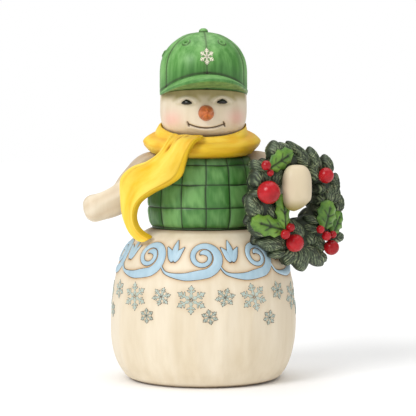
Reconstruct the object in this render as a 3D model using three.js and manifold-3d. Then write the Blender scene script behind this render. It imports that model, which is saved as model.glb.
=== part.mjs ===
// A painted cast-resin snowman figurine with a cap, a scarf and a wreath on one arm.
// Millimetres, +Z up, the front faces -Y, origin at the centre of the flat underside.
import * as THREE from "three";
import { mergeVertices } from "three/addons/utils/BufferGeometryUtils.js";
import Module from "manifold-3d";

const wasm = await Module();
wasm.setup();

// Driving dimensions
const GAP = 0.35;
const BODY_DEPTH_RATIO = 0.95;
const VEST_DEPTH_RATIO = 0.86;
const HEAD_DEPTH_RATIO = 0.95;
const CAP_DEPTH_RATIO = 1.04;
const VEST_FOOT = 86.3;
const VEST_TOP = 127.6;
const HEAD_TOP = 162;
const CAP_SLOPE = -0.12;
const COLLAR_SLOPE = 0.065;
const CAP_TURN = THREE.MathUtils.degToRad(5);
const BRIM_REACH = 17;
const SCARF_DEPTH_RATIO = 0.92;
const TAIL_THICK = 3.4;
const WREATH_CENTRE = [45.7, -20.4, 100];
const WREATH_TURN = THREE.MathUtils.degToRad(40);
const WREATH_RADIUS = 33;
const OUTLINE_CENTRE = [4.5, -0.5];
const HOLE_CENTRE = [6, 7];
const HOLE_RADIUS = 14.5;
const WREATH_HALF_THICK = 7.5;
const LEAF_THICK = 1.4;

const PAINTS = {
  snow: { color: 0xf0e3ca, roughness: 0.45 },
  vest: { color: 0x5f8f4c, roughness: 0.45 },
  cap: { color: 0x5f9450, roughness: 0.45 },
  scarf: { color: 0xf4d34f, roughness: 0.4 },
  carrot: { color: 0xc8683a, roughness: 0.4 },
  bead: { color: 0x151210, roughness: 0.15 },
  pine: { color: 0x5a6b4c, roughness: 0.55 },
  holly: { color: 0x5b7a38, roughness: 0.4 },
  berry: { color: 0xb8222a, roughness: 0.15 },
};

// Profiles of the turned forms, as radius and height from the underside up
const BODY_PROFILE = [
  [0, 0], [40.5, 0], [44.2, 1.7], [46.6, 4.8], [49.2, 9], [51.4, 15], [52.8, 22], [53.3, 29],
  [53.3, 38], [52.6, 46], [51, 56], [49, 65], [46.6, 71.5], [43.2, 77], [38.6, 81.5], [33.6, 84.6],
  [30.6, 86], [0, 86],
];
const VEST_PROFILE = [
  [0, VEST_FOOT], [29.6, VEST_FOOT], [31.2, 91], [32, 98], [31.7, 106], [31, 112], [29.8, 119],
  [28.3, 124], [27.4, 126.2], [25.4, VEST_TOP], [0, VEST_TOP],
];
const HEAD_PROFILE = [
  [0, VEST_TOP + 0.3], [17, VEST_TOP + 0.3], [17, 137.2], [19.6, 139.6], [22.4, 142.6], [24.1, 147],
  [24.7, 152], [24.6, HEAD_TOP], [0, HEAD_TOP],
];
const CROWN_PROFILE = [
  [0, HEAD_TOP + 0.3], [24.9, HEAD_TOP + 0.3], [24.9, 170], [24.8, 176.5], [24, 181.5], [22.2, 185.8],
  [19.4, 189.8], [15, 193.6], [9.6, 196.6], [4.6, 197.9], [0, 198.2],
];
// The scarf's folded section: radius, then height from -1 at its lower edge to 1 at its upper edge
const SCARF_SECTION = [
  [18.4, -0.7], [22, -0.96], [27, -1], [31.4, -0.82], [33.9, -0.42], [34, -0.06], [31.6, 0.36],
  [28.6, 0.46], [28.2, 0.74], [25.2, 1], [21.6, 0.92], [18.4, 0.4],
];

// Both edges of the scarf's tail, from the neck to the curled tip
const TAIL_OUTER_EDGE = [
  [-17.5, -20.5, 141.3], [-18.8, -24.5, 139], [-20.5, -28.5, 134.5], [-24.5, -31, 129], [-31.5, -31.5, 125],
  [-40, -28, 121.8], [-45.2, -24.5, 116], [-45.6, -23, 109], [-44.6, -22.5, 101.5], [-43, -22, 94],
  [-40.8, -22, 87.8], [-37.5, -23, 83], [-33.5, -25, 80.4],
];
const TAIL_INNER_EDGE = [
  [0.5, -25, 140], [-1.2, -29.5, 138.4], [-4.5, -33.2, 135], [-7.5, -34.8, 130], [-9.5, -34.8, 124],
  [-12, -34.2, 116.8], [-18, -33.4, 112.2], [-27, -32.4, 107.6], [-34.3, -31.5, 102], [-36.9, -30.5, 95],
  [-35.9, -29, 89], [-33, -28.2, 85.2], [-28, -28.2, 82.2],
];

// Centre lines and half-sizes of the two arms: x, y, z, half-width, half-height
const ARM_RIGHT = [
  [-20, 0, 122, 8, 8], [-31, -2, 121, 8.2, 8.2], [-39, -4, 112.5, 8.6, 8.8], [-45, -6, 105, 8.6, 8.8],
  [-54, -8, 100, 7.8, 8.2], [-68, -10, 96.4, 7, 7.4],
];
const ARM_LEFT = [
  [20, 0, 122, 8.4, 8.4], [32, 1, 121.5, 8.6, 8.6], [42, -2, 117, 8.6, 8.8], [49, -12, 111.5, 8.2, 9],
  [51.5, -25, 110, 8, 11], [51.5, -42, 110.5, 8.4, 13.6],
];

// Needle clumps of the wreath, each from its root to its tip in the wreath's plane, then its width
const CLUMPS = [
  [-10.5, 27, -12, 35.7, 8.9], [-1.4, 29, -7.5, 34.9, 5.6], [13.1, 23.6, -1.4, 35.6, 6.6],
  [12.4, 22.5, 1.6, 28.9, 5.8], [20.2, 17.3, 15.4, 32.1, 7.6], [28.8, 17, 27.2, 27.6, 7],
  [19.4, 13.9, 13.9, 23.1, 6], [30.5, 2.2, 36, 16.9, 6.6], [27.3, 0.6, 29.6, 11.4, 7.9],
  [31.3, 0.5, 36.8, 9.4, 6], [35, -5, 39, 4.8, 7.1], [-20.8, 19.4, -27.5, 25.5, 6],
  [-24.5, 11.2, -25.3, 21.6, 6], [-20.1, 13, -20.8, 21.6, 7], [-13.4, 11.4, -6.7, 20.1, 8.3],
  [-20.8, 9, -28.9, 6.4, 5.4], [-23.7, -5, -30, 5.9, 8.1], [-14.8, -7, -17.1, 1.6, 7.2],
  [-20.8, -15.4, -28.9, -8.4, 6.6], [-4.3, -21.2, -23, -19.7, 8.6], [-5.8, -25, -14.8, -27.3, 5.4],
  [-0.5, -23.5, -2, -32.5, 9.2], [5.7, -24, 10.3, -36.1, 11.6], [11, -23.7, 25.2, -34.2, 9.5],
  [18.8, -27.5, 27.5, -32.2, 6.5], [24.3, -26.1, 18, -18, 8.1], [14.9, -22.8, 14.1, -14.2, 6.9],
  [7.2, -17.3, -0.5, -6.3, 7.6], [18.8, -15, 11, -11.8, 5.6], [20.3, -10, 11.7, -6.8, 5.2],
  [32, -19.5, 41, -19, 6.5],
];

// Holly leaves: root and tip in the wreath's plane, height of the root and tip, half-width
const LEAVES = [
  [-20.5, 22, -3.2, 30.2, 11, 10, 5.6], [-9.3, -12, -11, 7.2, 11.5, 10.5, 4.6],
  [-10.5, -13, -32.4, -7, 11.5, 9, 5.4], [21.6, -13.7, 27.4, 2, 11, 10, 7], [27.5, -15.5, 36.8, -4.8, 10, 7, 4.4],
];

// Berries: place in the wreath's plane, height of the centre, radius
const BERRIES = [
  [-25.4, 23.3, 12.5, 2.7], [-22.6, 19.2, 12.8, 1.9], [-23.5, 8.5, 12.5, 6.4], [21.7, 16.6, 10.5, 4.5],
  [-7.7, -11.4, 13, 2.5], [-12.5, -14.9, 14, 2.7], [-3.4, -20.2, 12, 5], [14.7, -13.4, 13.5, 2.3],
  [19.9, -17.4, 13, 2.7], [25.3, -16.8, 12.6, 2.2], [25.8, -24.3, 11, 4.4],
];

// Shape helpers

// Merges shared corners, drops flat triangles and turns every face outwards
function closed(source) {
  const bare = source.clone();
  bare.deleteAttribute("normal");
  bare.deleteAttribute("uv");
  const merged = mergeVertices(bare, 1e-3);
  const corners = merged.index.array;
  const kept = [];
  for (let i = 0; i < corners.length; i += 3) {
    const [a, b, c] = [corners[i], corners[i + 1], corners[i + 2]];
    if (a !== b && b !== c && c !== a) kept.push(a, b, c);
  }
  merged.setIndex(signedVolume(merged, kept) < 0 ? kept.reverse() : kept);
  return merged;
}

function signedVolume(geometry, corners) {
  const place = geometry.attributes.position;
  const [a, b, c] = [new THREE.Vector3(), new THREE.Vector3(), new THREE.Vector3()];
  let total = 0;
  for (let i = 0; i < corners.length; i += 3) {
    a.fromBufferAttribute(place, corners[i]);
    b.fromBufferAttribute(place, corners[i + 1]);
    c.fromBufferAttribute(place, corners[i + 2]);
    total += a.dot(b.cross(c)) / 6;
  }
  return total;
}

// Moves every corner of a closed form by a function of its place
function warped(source, move) {
  const shape = closed(source);
  const place = shape.attributes.position;
  const point = new THREE.Vector3();
  for (let i = 0; i < place.count; i += 1) {
    point.fromBufferAttribute(place, i);
    const moved = move(point.clone());
    place.setXYZ(i, moved.x, moved.y, moved.z);
  }
  return closed(shape);
}

// The same form, a gap larger all round, to cut a neighbour with
function grown(shape, distance = GAP) {
  const larger = shape.clone();
  larger.computeVertexNormals();
  const place = larger.attributes.position;
  const normal = larger.attributes.normal;
  for (let i = 0; i < place.count; i += 1) {
    place.setXYZ(
      i,
      place.getX(i) + normal.getX(i) * distance,
      place.getY(i) + normal.getY(i) * distance,
      place.getZ(i) + normal.getZ(i) * distance,
    );
  }
  larger.deleteAttribute("normal");
  return larger;
}

function solidOf(shape) {
  const vertProperties = new Float32Array(shape.attributes.position.array);
  const triVerts = new Uint32Array(shape.index.array);
  return new wasm.Manifold(new wasm.Mesh({ numProp: 3, vertProperties, triVerts }));
}

function geometryOf(solid) {
  const mesh = solid.getMesh();
  const shape = new THREE.BufferGeometry();
  shape.setAttribute("position", new THREE.BufferAttribute(new Float32Array(mesh.vertProperties), 3));
  shape.setIndex([...mesh.triVerts]);
  return shape;
}

// Cuts a form back from its neighbours, and keeps the largest body that is left
function cutFrom(shape, neighbours) {
  let solid = solidOf(shape);
  for (const neighbour of neighbours) solid = solid.subtract(solidOf(grown(neighbour)));
  const bodies = solid.decompose();
  bodies.sort((a, b) => b.volume() - a.volume());
  return geometryOf(bodies[0]);
}

function turned(profile, sides, depthRatio) {
  const points = profile.map(([radius, height]) => new THREE.Vector2(radius, height));
  const shape = new THREE.LatheGeometry(points, sides);
  shape.rotateX(Math.PI / 2);
  shape.scale(1, depthRatio, 1);
  return closed(shape);
}

// Radius of a turned form's profile at one height
function radiusAt(profile, height) {
  for (let i = 1; i < profile.length; i += 1) {
    const [lowRadius, low] = profile[i - 1];
    const [highRadius, high] = profile[i];
    if (high > low && height >= low && height <= high) {
      return lowRadius + ((highRadius - lowRadius) * (height - low)) / (high - low);
    }
  }
  return 0;
}

// Leans a form's flat seat, by a slope from front to back
function leaned(shape, slope, isSeat) {
  return warped(shape, (point) => {
    if (isSeat(point.z)) point.z += slope * point.y;
    return point;
  });
}

// Makes a round section slightly square
const squared = (value) => Math.sign(value) * Math.abs(value) ** 0.75;

// A round-ended limb along a smooth line, with its own width and height at each step
function limb(stations, sides, rows) {
  const line = new THREE.CatmullRomCurve3(stations.map(([x, y, z]) => new THREE.Vector3(x, y, z)));
  const sizes = new THREE.CatmullRomCurve3(
    stations.map(([, , , wide, tall]) => new THREE.Vector3(wide, tall, 0)),
  );
  const length = line.getLength();
  const up = new THREE.Vector3(0, 0, 1);
  return warped(new THREE.SphereGeometry(1, sides, rows), (point) => {
    const along = (THREE.MathUtils.clamp(point.y, -1, 1) + 1) / 2;
    const centre = line.getPoint(along);
    const heading = line.getTangent(along);
    const side = new THREE.Vector3().crossVectors(up, heading).normalize();
    const top = new THREE.Vector3().crossVectors(heading, side);
    const size = sizes.getPoint(along);
    const fromEnd = Math.min(along, 1 - along) * length;
    const rounding = Math.min(1, fromEnd / size.x);
    const fullness = (1 - (1 - rounding) ** 2.4) ** (1 / 2.4);
    const angle = Math.atan2(point.z, point.x);
    centre.addScaledVector(side, squared(Math.cos(angle)) * size.x * fullness);
    return centre.addScaledVector(top, squared(Math.sin(angle)) * size.y * fullness);
  });
}

// The parts of the figure
const figure = new THREE.Group();

function addPart(name, shape, paint, holder = figure, position = [0, 0, 0]) {
  const mesh = new THREE.Mesh(shape, new THREE.MeshStandardMaterial({ ...PAINTS[paint], metalness: 0 }));
  mesh.name = name;
  mesh.position.set(...position);
  holder.add(mesh);
  return mesh;
}

// The cap's visor runs forward from the crown and arches down at both sides
function brimShape() {
  return warped(new THREE.BoxGeometry(1, 1, 1, 14, 3, 1), (point) => {
    const angle = point.x * THREE.MathUtils.degToRad(156);
    const arch = Math.cos(angle);
    const reach = BRIM_REACH * arch ** 0.8;
    const out = 0.5 - point.y;
    const top = 164 + 8.8 * arch ** 1.6 - (0.6 + 2.9 * arch ** 1.6) * out;
    const underside = 160.8 + 3.7 * arch + (0.1 - 3.7 * arch + 6.2 * arch ** 1.5) * out;
    const x = 24 * Math.sin(angle) * (1 + 0.04 * out);
    const y = -23.5 * CAP_DEPTH_RATIO * arch - (reach + 2) * out;
    const z = top + (underside - top) * (0.5 - point.z);
    return new THREE.Vector3(x, y, z);
  }).rotateZ(CAP_TURN);
}

// The scarf's ring is low and shallow in front, and high and full behind
function scarfRing() {
  const points = SCARF_SECTION.map(([radius, height]) => new THREE.Vector2(radius, height));
  points.push(points[0].clone());
  const ring = new THREE.LatheGeometry(points, 26).rotateX(Math.PI / 2);
  return warped(ring, (point) => {
    const radius = Math.hypot(point.x, point.y);
    const forward = -point.y / radius;
    const middle = 136.8 - (forward > 0 ? 4.4 : 3) * forward;
    const half = 8.2 - (forward > 0 ? 2.2 : 1.8) * forward;
    const height = middle + half * point.z;
    const clear = Math.max(radius, radiusAt(HEAD_PROFILE, height + 1) + 0.8) / radius;
    const depth = radius < 26 ? Math.max(SCARF_DEPTH_RATIO, HEAD_DEPTH_RATIO) : SCARF_DEPTH_RATIO;
    return new THREE.Vector3(point.x * clear, point.y * clear * depth, height);
  });
}

// The scarf's tail is a thick ribbon between its two edges
function scarfTail() {
  const outer = new THREE.CatmullRomCurve3(TAIL_OUTER_EDGE.map((p) => new THREE.Vector3(...p)));
  const inner = new THREE.CatmullRomCurve3(TAIL_INNER_EDGE.map((p) => new THREE.Vector3(...p)));
  return warped(new THREE.BoxGeometry(1, 1, 1, 24, 4, 1), (point) => {
    const along = point.x + 0.5;
    const across = point.y + 0.5;
    const low = outer.getPoint(along);
    const high = inner.getPoint(along);
    const heading = outer.getTangent(along).add(inner.getTangent(along)).normalize();
    const face = new THREE.Vector3().subVectors(high, low).cross(heading).normalize();
    const crown = 2.2 * Math.sin(Math.PI * across);
    return low.lerp(high, across).addScaledVector(face, crown + (point.z - 0.5) * TAIL_THICK);
  });
}

// The ring of greens, between its round hole and its outline
function wreathCore() {
  const offset = [HOLE_CENTRE[0] - OUTLINE_CENTRE[0], HOLE_CENTRE[1] - OUTLINE_CENTRE[1]];
  return warped(new THREE.TorusGeometry(2, 1, 8, 20), (point) => {
    const angle = Math.atan2(point.y, point.x);
    const round = Math.atan2(point.z, Math.hypot(point.x, point.y) - 2);
    const heading = [Math.cos(angle), Math.sin(angle)];
    const lean = offset[0] * heading[0] + offset[1] * heading[1];
    const outer = -lean + Math.sqrt(lean ** 2 - offset[0] ** 2 - offset[1] ** 2 + WREATH_RADIUS ** 2);
    const radius = (outer + HOLE_RADIUS) / 2 + ((outer - HOLE_RADIUS) / 2) * Math.cos(round);
    return new THREE.Vector3(
      HOLE_CENTRE[0] + heading[0] * radius,
      HOLE_CENTRE[1] + heading[1] * radius,
      WREATH_HALF_THICK * Math.sin(round),
    );
  });
}

// A plump clump of needles that narrows to its tip
function clumpShape([rootX, rootY, tipX, tipY, width]) {
  const length = Math.hypot(tipX - rootX, tipY - rootY) + width / 2;
  const clump = warped(new THREE.SphereGeometry(1, 6, width > 7.8 ? 5 : 4), (point) => {
    const taper = 1 - 0.3 * point.y;
    return new THREE.Vector3((point.x * width * taper) / 2, (point.y * length) / 2, point.z * 5.6 * taper);
  });
  clump.rotateZ(Math.atan2(tipY - rootY, tipX - rootX) - Math.PI / 2);
  return clump.translate((rootX + tipX) / 2, (rootY + tipY) / 2, 3.4);
}

// A holly leaf with three points on each side, bowed along its vein
function leafShape([rootX, rootY, tipX, tipY, rootHeight, tipHeight, halfWidth]) {
  const length = Math.hypot(tipX - rootX, tipY - rootY);
  const leaf = warped(new THREE.BoxGeometry(1, 1, 1, 2, 9, 1), (point) => {
    const along = point.y + 0.5;
    const spike = 0.72 + 0.28 * Math.abs(Math.cos(3 * Math.PI * along));
    const width = halfWidth * Math.sin(Math.PI * (0.08 + 0.88 * along)) ** 0.7 * spike;
    const height = rootHeight + (tipHeight - rootHeight) * along - Math.abs(point.x) * 2;
    return new THREE.Vector3(point.x * 2 * width, point.y * length, height + point.z * LEAF_THICK);
  });
  leaf.rotateZ(Math.atan2(tipY - rootY, tipX - rootX) - Math.PI / 2);
  return leaf.translate((rootX + tipX) / 2, (rootY + tipY) / 2, 0);
}

// Snow, vest and head stand on each other
const snowBody = turned(BODY_PROFILE, 30, BODY_DEPTH_RATIO);
const squareVest = turned(VEST_PROFILE, 26, VEST_DEPTH_RATIO);
const vest = leaned(squareVest, COLLAR_SLOPE, (height) => height > VEST_TOP - GAP);
const squareHead = turned(HEAD_PROFILE, 28, HEAD_DEPTH_RATIO);
const neckedHead = leaned(squareHead, COLLAR_SLOPE, (height) => height < VEST_TOP + 1);
const head = leaned(neckedHead, CAP_SLOPE, (height) => height > HEAD_TOP - GAP);
addPart("snow_body", snowBody, "snow");
addPart("vest", vest, "vest");
addPart("head", head, "snow");

// Cap
const squareCrown = turned(CROWN_PROFILE, 28, CAP_DEPTH_RATIO);
const crown = leaned(squareCrown, CAP_SLOPE, (height) => height < HEAD_TOP + 1);
addPart("cap_crown", crown, "cap");
addPart("cap_brim", cutFrom(brimShape(), [crown, head]), "cap");
const buttonProfile = [[0, 197], [2.9, 197], [2.9, 198.9], [1.8, 199.8], [0, 200]];
addPart("cap_button", cutFrom(turned(buttonProfile, 12, 1), [crown]), "cap");

// Face
const noseProfile = [[0, -3], [4.4, -3], [4.3, 1.5], [3.6, 4.6], [2.5, 7.2], [1.2, 8.8], [0, 9.2]];
const nose = turned(noseProfile, 10, 1).rotateX(Math.PI / 2).rotateZ(CAP_TURN).translate(1.6, -23.2, 151.8);
addPart("nose", cutFrom(nose, [head]), "carrot");
for (const [name, across, up] of [["eye_right", -10, 157.9], ["eye_left", 10.4, 158.3]]) {
  const bead = closed(new THREE.SphereGeometry(1, 12, 8)).scale(3, 1.6, 1.5);
  const away = Math.atan2(across, 24);
  const depth = -Math.sqrt(24.6 ** 2 - across ** 2) * HEAD_DEPTH_RATIO;
  addPart(name, cutFrom(bead.rotateZ(away).translate(across, depth, up), [head]), "bead");
}

// Scarf and arms, each cut back from what it lies on
const ring = scarfRing();
addPart("scarf_wrap", ring, "scarf");
const armRight = cutFrom(limb(ARM_RIGHT, 10, 12), [vest, ring]);
addPart("arm_right", armRight, "snow");
const armLeft = cutFrom(limb(ARM_LEFT, 10, 12), [vest, ring]);
addPart("arm_left", armLeft, "snow");
addPart("scarf_tail", cutFrom(scarfTail(), [ring, vest, armRight, snowBody]), "scarf");

// The wreath's pieces stand in its own turned frame: across, up and out of its face
const wreath = new THREE.Group();
wreath.position.set(...WREATH_CENTRE);
wreath.rotation.set(Math.PI / 2, 0, WREATH_TURN, "ZYX");
wreath.updateMatrix();
figure.add(wreath);
const intoWreath = wreath.matrix.clone().invert();
const inWreath = (shape) => shape.clone().applyMatrix4(intoWreath);

const carriers = [snowBody, armLeft].map(inWreath);
const berries = BERRIES.map(([x, y, out, radius]) => {
  return closed(new THREE.SphereGeometry(radius, radius > 4 ? 9 : 7, radius > 4 ? 7 : 5)).translate(x, y, out);
});
const leaves = [];
for (const leaf of LEAVES) leaves.push(cutFrom(leafShape(leaf), [...carriers, ...berries, ...leaves]));
berries.forEach((berry, i) => addPart(`berry_${i + 1}`, berry, "berry", wreath));
leaves.forEach((leaf, i) => addPart(`holly_leaf_${i + 1}`, leaf, "holly", wreath));
let greens = solidOf(wreathCore());
for (const clump of CLUMPS) greens = greens.add(solidOf(clumpShape(clump)));
addPart("wreath_greens", cutFrom(geometryOf(greens), [...carriers, ...leaves, ...berries]), "pine", wreath);

export default figure;
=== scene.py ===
"""A painted cast-resin snowman figurine in a cap, a checked vest and a scarf, with a wreath on one arm.

Every piece is modelled in millimetres, is written to its mesh in metres, and stands in the part's own frame.
"""
import math

import bpy
import numpy as np
from mathutils import Matrix, Vector


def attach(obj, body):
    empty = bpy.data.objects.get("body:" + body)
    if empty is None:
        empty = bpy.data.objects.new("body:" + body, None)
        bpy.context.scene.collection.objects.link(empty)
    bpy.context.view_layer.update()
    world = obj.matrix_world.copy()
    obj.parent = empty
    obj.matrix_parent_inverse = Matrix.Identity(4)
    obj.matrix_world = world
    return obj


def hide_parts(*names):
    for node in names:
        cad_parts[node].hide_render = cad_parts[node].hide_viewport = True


bl_info = {
    "name": "Snowman Figurine",
    "version": (1, 0, 0),
    "blender": (4, 5, 0),
    "location": "View3D > Sidebar > Snowman",
    "description": "Models a painted resin snowman around its packed solids",
    "category": "Object",
}

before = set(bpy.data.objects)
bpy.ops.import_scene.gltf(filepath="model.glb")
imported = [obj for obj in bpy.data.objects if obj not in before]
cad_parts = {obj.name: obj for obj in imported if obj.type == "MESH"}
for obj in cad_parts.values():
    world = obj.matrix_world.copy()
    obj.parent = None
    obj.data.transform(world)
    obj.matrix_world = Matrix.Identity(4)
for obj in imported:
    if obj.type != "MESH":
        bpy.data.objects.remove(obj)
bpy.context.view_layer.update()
MM = 0.001

# Each round form's depth as a share of its width
BODY_DEPTH = 0.95
VEST_DEPTH = 0.86
HEAD_DEPTH = 0.95
CAP_DEPTH = 1.04

# Heights, radii and places in millimetres
HEIGHT = 200
BODY_TOP = 86.0
BORDER_FOOT = 38
BORDER_RADIUS = 47
VEST_FOOT = 86.3
VEST_TOP = 127.6
HEAD_RADIUS = 24.7
EYES = ((-9.3, 157.7), (10.5, 158.1))
RING_RADIUS = 26
NEEDLE = 1.2

# The cap sits turned a little and slopes down towards the back, by a share of how far back it is
CAP_SEAT = 162.0
CAP_SLOPE = 0.12
CAP_TURN = math.radians(5)
CROWN_TOP = 198.2
VISOR_SEAT = 164.2
VISOR_RISE = 9.8

# The wreath hangs turned out, and its hole is off its centre
WREATH_CENTRE = (45.7, -20.4, 100.0)
WREATH_TURN = math.radians(40)
WREATH_RADIUS = 33.0
OUTLINE_CENTRE = (4.5, -0.5)
HOLE_CENTRE = (6.0, 7.0)
HOLE_RADIUS = 14.5

# Where the camera looks, in metres, and its lens, in millimetres on a sensor 36 mm wide
AIM = (0.0026, 0, 0.0974)
LENS = 143.7

# A piece's own brush directions, kept in millimetres: across the marks, along them and out
GRAIN = ("grain_across", "grain_along", "grain_out")


# Small helpers


def linear(code):
    """An sRGB hex colour as linear red, green, blue and alpha"""
    parts = [int(code[i : i + 2], 16) / 255 for i in (1, 3, 5)]
    return tuple(c / 12.92 if c <= 0.04045 else ((c + 0.055) / 1.055) ** 2.4 for c in parts) + (1.0,)


def ease(value, low, high):
    """0 at low, 1 at high and smooth between"""
    share = np.clip((value - low) / (high - low), 0, 1)
    return share * share * (3 - 2 * share)


def bump(value, middle, width):
    """A soft hill, 1 at its middle"""
    return np.exp(-(((value - middle) / width) ** 2))


def smooth_line(stations, count):
    """Evenly spaced places on a smooth line through the stations"""
    knots = np.array(stations, float)
    ends = np.vstack([2 * knots[0] - knots[1], knots, 2 * knots[-1] - knots[-2]])
    share = np.linspace(0, 1, 25)[:, None]
    parts = []
    for before, here, there, after in zip(ends, ends[1:], ends[2:], ends[3:]):
        bend = 2 * before - 5 * here + 4 * there - after
        turn = 3 * here - before - 3 * there + after
        parts.append(0.5 * (2 * here + (there - before) * share + bend * share**2 + turn * share**3))
    line = np.vstack(parts)
    steps = np.r_[0, np.cumsum(np.linalg.norm(np.diff(line, axis=0), axis=1))]
    even = np.linspace(0, steps[-1], count)
    return np.stack([np.interp(even, steps, line[:, i]) for i in range(line.shape[1])], 1)


def superellipse(angle, power):
    """A rounded square's corner places, rounder as power nears 2"""
    c, s = np.cos(angle), np.sin(angle)
    return np.sign(c) * np.abs(c) ** (2 / power), np.sign(s) * np.abs(s) ** (2 / power)


def stroke_gap(places, line, half_widths):
    """Signed distance from flat places to a painted stroke, negative inside it"""
    gap = np.full(len(places), 1e3)
    for part in np.array_split(np.arange(len(places)), max(1, len(places) // 4000)):
        away = np.hypot(places[part, 0, None] - line[:, 0], places[part, 1, None] - line[:, 1])
        gap[part] = (away - half_widths).min(1)
    return gap


def deselect():
    """Leaves edit mode with nothing selected"""
    if bpy.context.mode != "OBJECT":
        bpy.ops.object.mode_set(mode="OBJECT")
    bpy.ops.object.select_all(action="DESELECT")


def named(name):
    """The primitive just added, under its name"""
    piece = bpy.context.object
    piece.name = name
    piece.data.name = name
    return piece


def points(piece):
    """A piece's corners in millimetres"""
    flat = np.empty(len(piece.data.vertices) * 3, np.float32)
    piece.data.vertices.foreach_get("co", flat)
    return flat.reshape(-1, 3).astype(float) * 1000


def set_points(piece, places):
    """Moves a piece's corners to places in millimetres"""
    piece.data.vertices.foreach_set("co", (places * MM).astype(np.float32).ravel())
    piece.data.update()


def set_paint(piece, name, values):
    """Keeps one number for each corner, which a material reads as a paint mask"""
    layer = piece.data.attributes.get(name) or piece.data.attributes.new(name, "FLOAT", "POINT")
    layer.data.foreach_set("value", np.asarray(values, np.float32))


def corner_normals(piece):
    """The outward direction at each corner"""
    flat = np.empty(len(piece.data.vertices) * 3, np.float32)
    piece.data.vertex_normals.foreach_get("vector", flat)
    return flat.reshape(-1, 3).astype(float)


def line_of(piece):
    """The dark outline's share at each corner of a raised ornament"""
    values = np.empty(len(piece.data.vertices), np.float32)
    piece.data.attributes["line"].data.foreach_get("value", values)
    return values


def push(piece, amount):
    """Moves each corner along its normal by an amount in millimetres"""
    set_points(piece, points(piece) + corner_normals(piece) * np.asarray(amount)[:, None])


def turned(name, profile, steps, depth):
    """A profile of radius and height, extruded step by step and spun round the upright axis"""
    deselect()
    bpy.ops.mesh.primitive_plane_add(size=MM)
    piece = named(name)
    bpy.ops.object.mode_set(mode="EDIT")
    bpy.ops.mesh.select_all(action="SELECT")
    bpy.ops.mesh.merge(type="CENTER")
    here = np.zeros(2)
    for place in profile:
        move = ((place[0] - here[0]) * MM, 0, (place[1] - here[1]) * MM)
        if place is profile[0]:
            bpy.ops.transform.translate(value=move)
        else:
            bpy.ops.mesh.extrude_region_move(TRANSFORM_OT_translate={"value": move})
        here = np.array(place)
    bpy.ops.mesh.select_all(action="SELECT")
    bpy.ops.mesh.spin(steps=steps, angle=math.tau, center=(0, 0, 0), axis=(0, 0, 1))
    bpy.ops.mesh.select_all(action="SELECT")
    bpy.ops.mesh.remove_doubles(threshold=2e-6)
    bpy.ops.mesh.normals_make_consistent(inside=False)
    bpy.ops.object.mode_set(mode="OBJECT")
    set_points(piece, points(piece) * (1, depth, 1))
    return piece


def ball(name, segments, rings):
    """A unit ball to shape, 1 mm in radius with its poles along Z"""
    deselect()
    bpy.ops.mesh.primitive_uv_sphere_add(segments=segments, ring_count=rings, radius=MM)
    return named(name)


def joined(name, parts):
    """Several meshes as one piece"""
    deselect()
    for part in parts:
        part.select_set(True)
    bpy.context.view_layer.objects.active = parts[0]
    bpy.ops.object.join()
    return named(name)


def finished(piece, material, slot, *nodes):
    """Smooths, paints and hands over a piece that stands for its CAD nodes"""
    deselect()
    piece.select_set(True)
    bpy.context.view_layer.objects.active = piece
    bpy.ops.object.shade_smooth()
    piece.data.materials.clear()
    piece.data.materials.append(material)
    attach(piece, "root")
    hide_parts(*nodes)
    return piece


def copies(piece, count):
    """The piece's mesh repeated in place, so that each copy can then be shaped on its own"""
    deselect()
    piece.select_set(True)
    bpy.context.view_layer.objects.active = piece
    repeat = piece.modifiers.new("copies", "ARRAY")
    repeat.count = count
    repeat.use_relative_offset = False
    repeat.use_constant_offset = True
    repeat.constant_offset_displace = (0, 0, 0)
    bpy.ops.object.modifier_apply(modifier=repeat.name)
    return piece


def relief(name, strokes, steps, sides, outline, lay):
    """Raised strokes on a surface, each a domed ribbon over a flat one that is wider by its dark outline.

    A stroke is its middle line, its half-widths and its height. lay puts flat places on the surface, each at
    its own height over it.
    """
    deselect()
    bpy.ops.mesh.primitive_grid_add(x_subdivisions=steps, y_subdivisions=sides, size=2 * MM)
    piece = copies(named(name), 2 * len(strokes))
    unit = points(piece)
    each = len(unit) // (2 * len(strokes))
    along, across = (unit[:each, 0] + 1) / 2, unit[:each, 1]
    flat, heights, lines = [], [], []
    for middle, half, tall in strokes:
        ends = middle[[0, -1]] - middle[[1, -2]]
        ends /= np.linalg.norm(ends, axis=1)[:, None]
        for wider in (0.0, outline):
            line = middle.copy()
            line[[0, -1]] += ends * wider
            heading = np.gradient(line, axis=0)
            heading /= np.linalg.norm(heading, axis=1)[:, None]
            aside = np.stack([-heading[:, 1], heading[:, 0]], 1)
            share = np.linspace(0, 1, len(line))
            centre = np.stack([np.interp(along, share, line[:, i]) for i in (0, 1)], 1)
            side = np.stack([np.interp(along, share, aside[:, i]) for i in (0, 1)], 1)
            width = np.interp(along, share, half) + wider
            flat.append(centre + side * (across * width)[:, None])
            dome = tall * (1 - np.abs(across) ** 3) - 0.12
            heights.append(dome if wider == 0 else np.where(np.abs(across) > 0.98, -0.15, 0.07))
            lines.append(np.full(each, float(wider > 0)))
    set_points(piece, lay(np.vstack(flat), np.concatenate(heights)))
    set_paint(piece, "line", np.concatenate(lines))
    return piece


# Materials


def add_node(tree, kind, settings=None, inputs=None):
    """Adds a node with its settings, and sets or links its inputs"""
    node = tree.nodes.new(kind)
    for name, value in (settings or {}).items():
        setattr(node, name, value)
    for socket, value in (inputs or {}).items():
        if isinstance(value, bpy.types.NodeSocket):
            tree.links.new(value, node.inputs[socket])
        else:
            node.inputs[socket].default_value = value
    return node


def mixed(tree, share, first, second):
    """The colour between two colours"""
    node = add_node(tree, "ShaderNodeMix", {"data_type": "RGBA"}, {0: share, 6: first, 7: second})
    return node.outputs[2]


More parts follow.
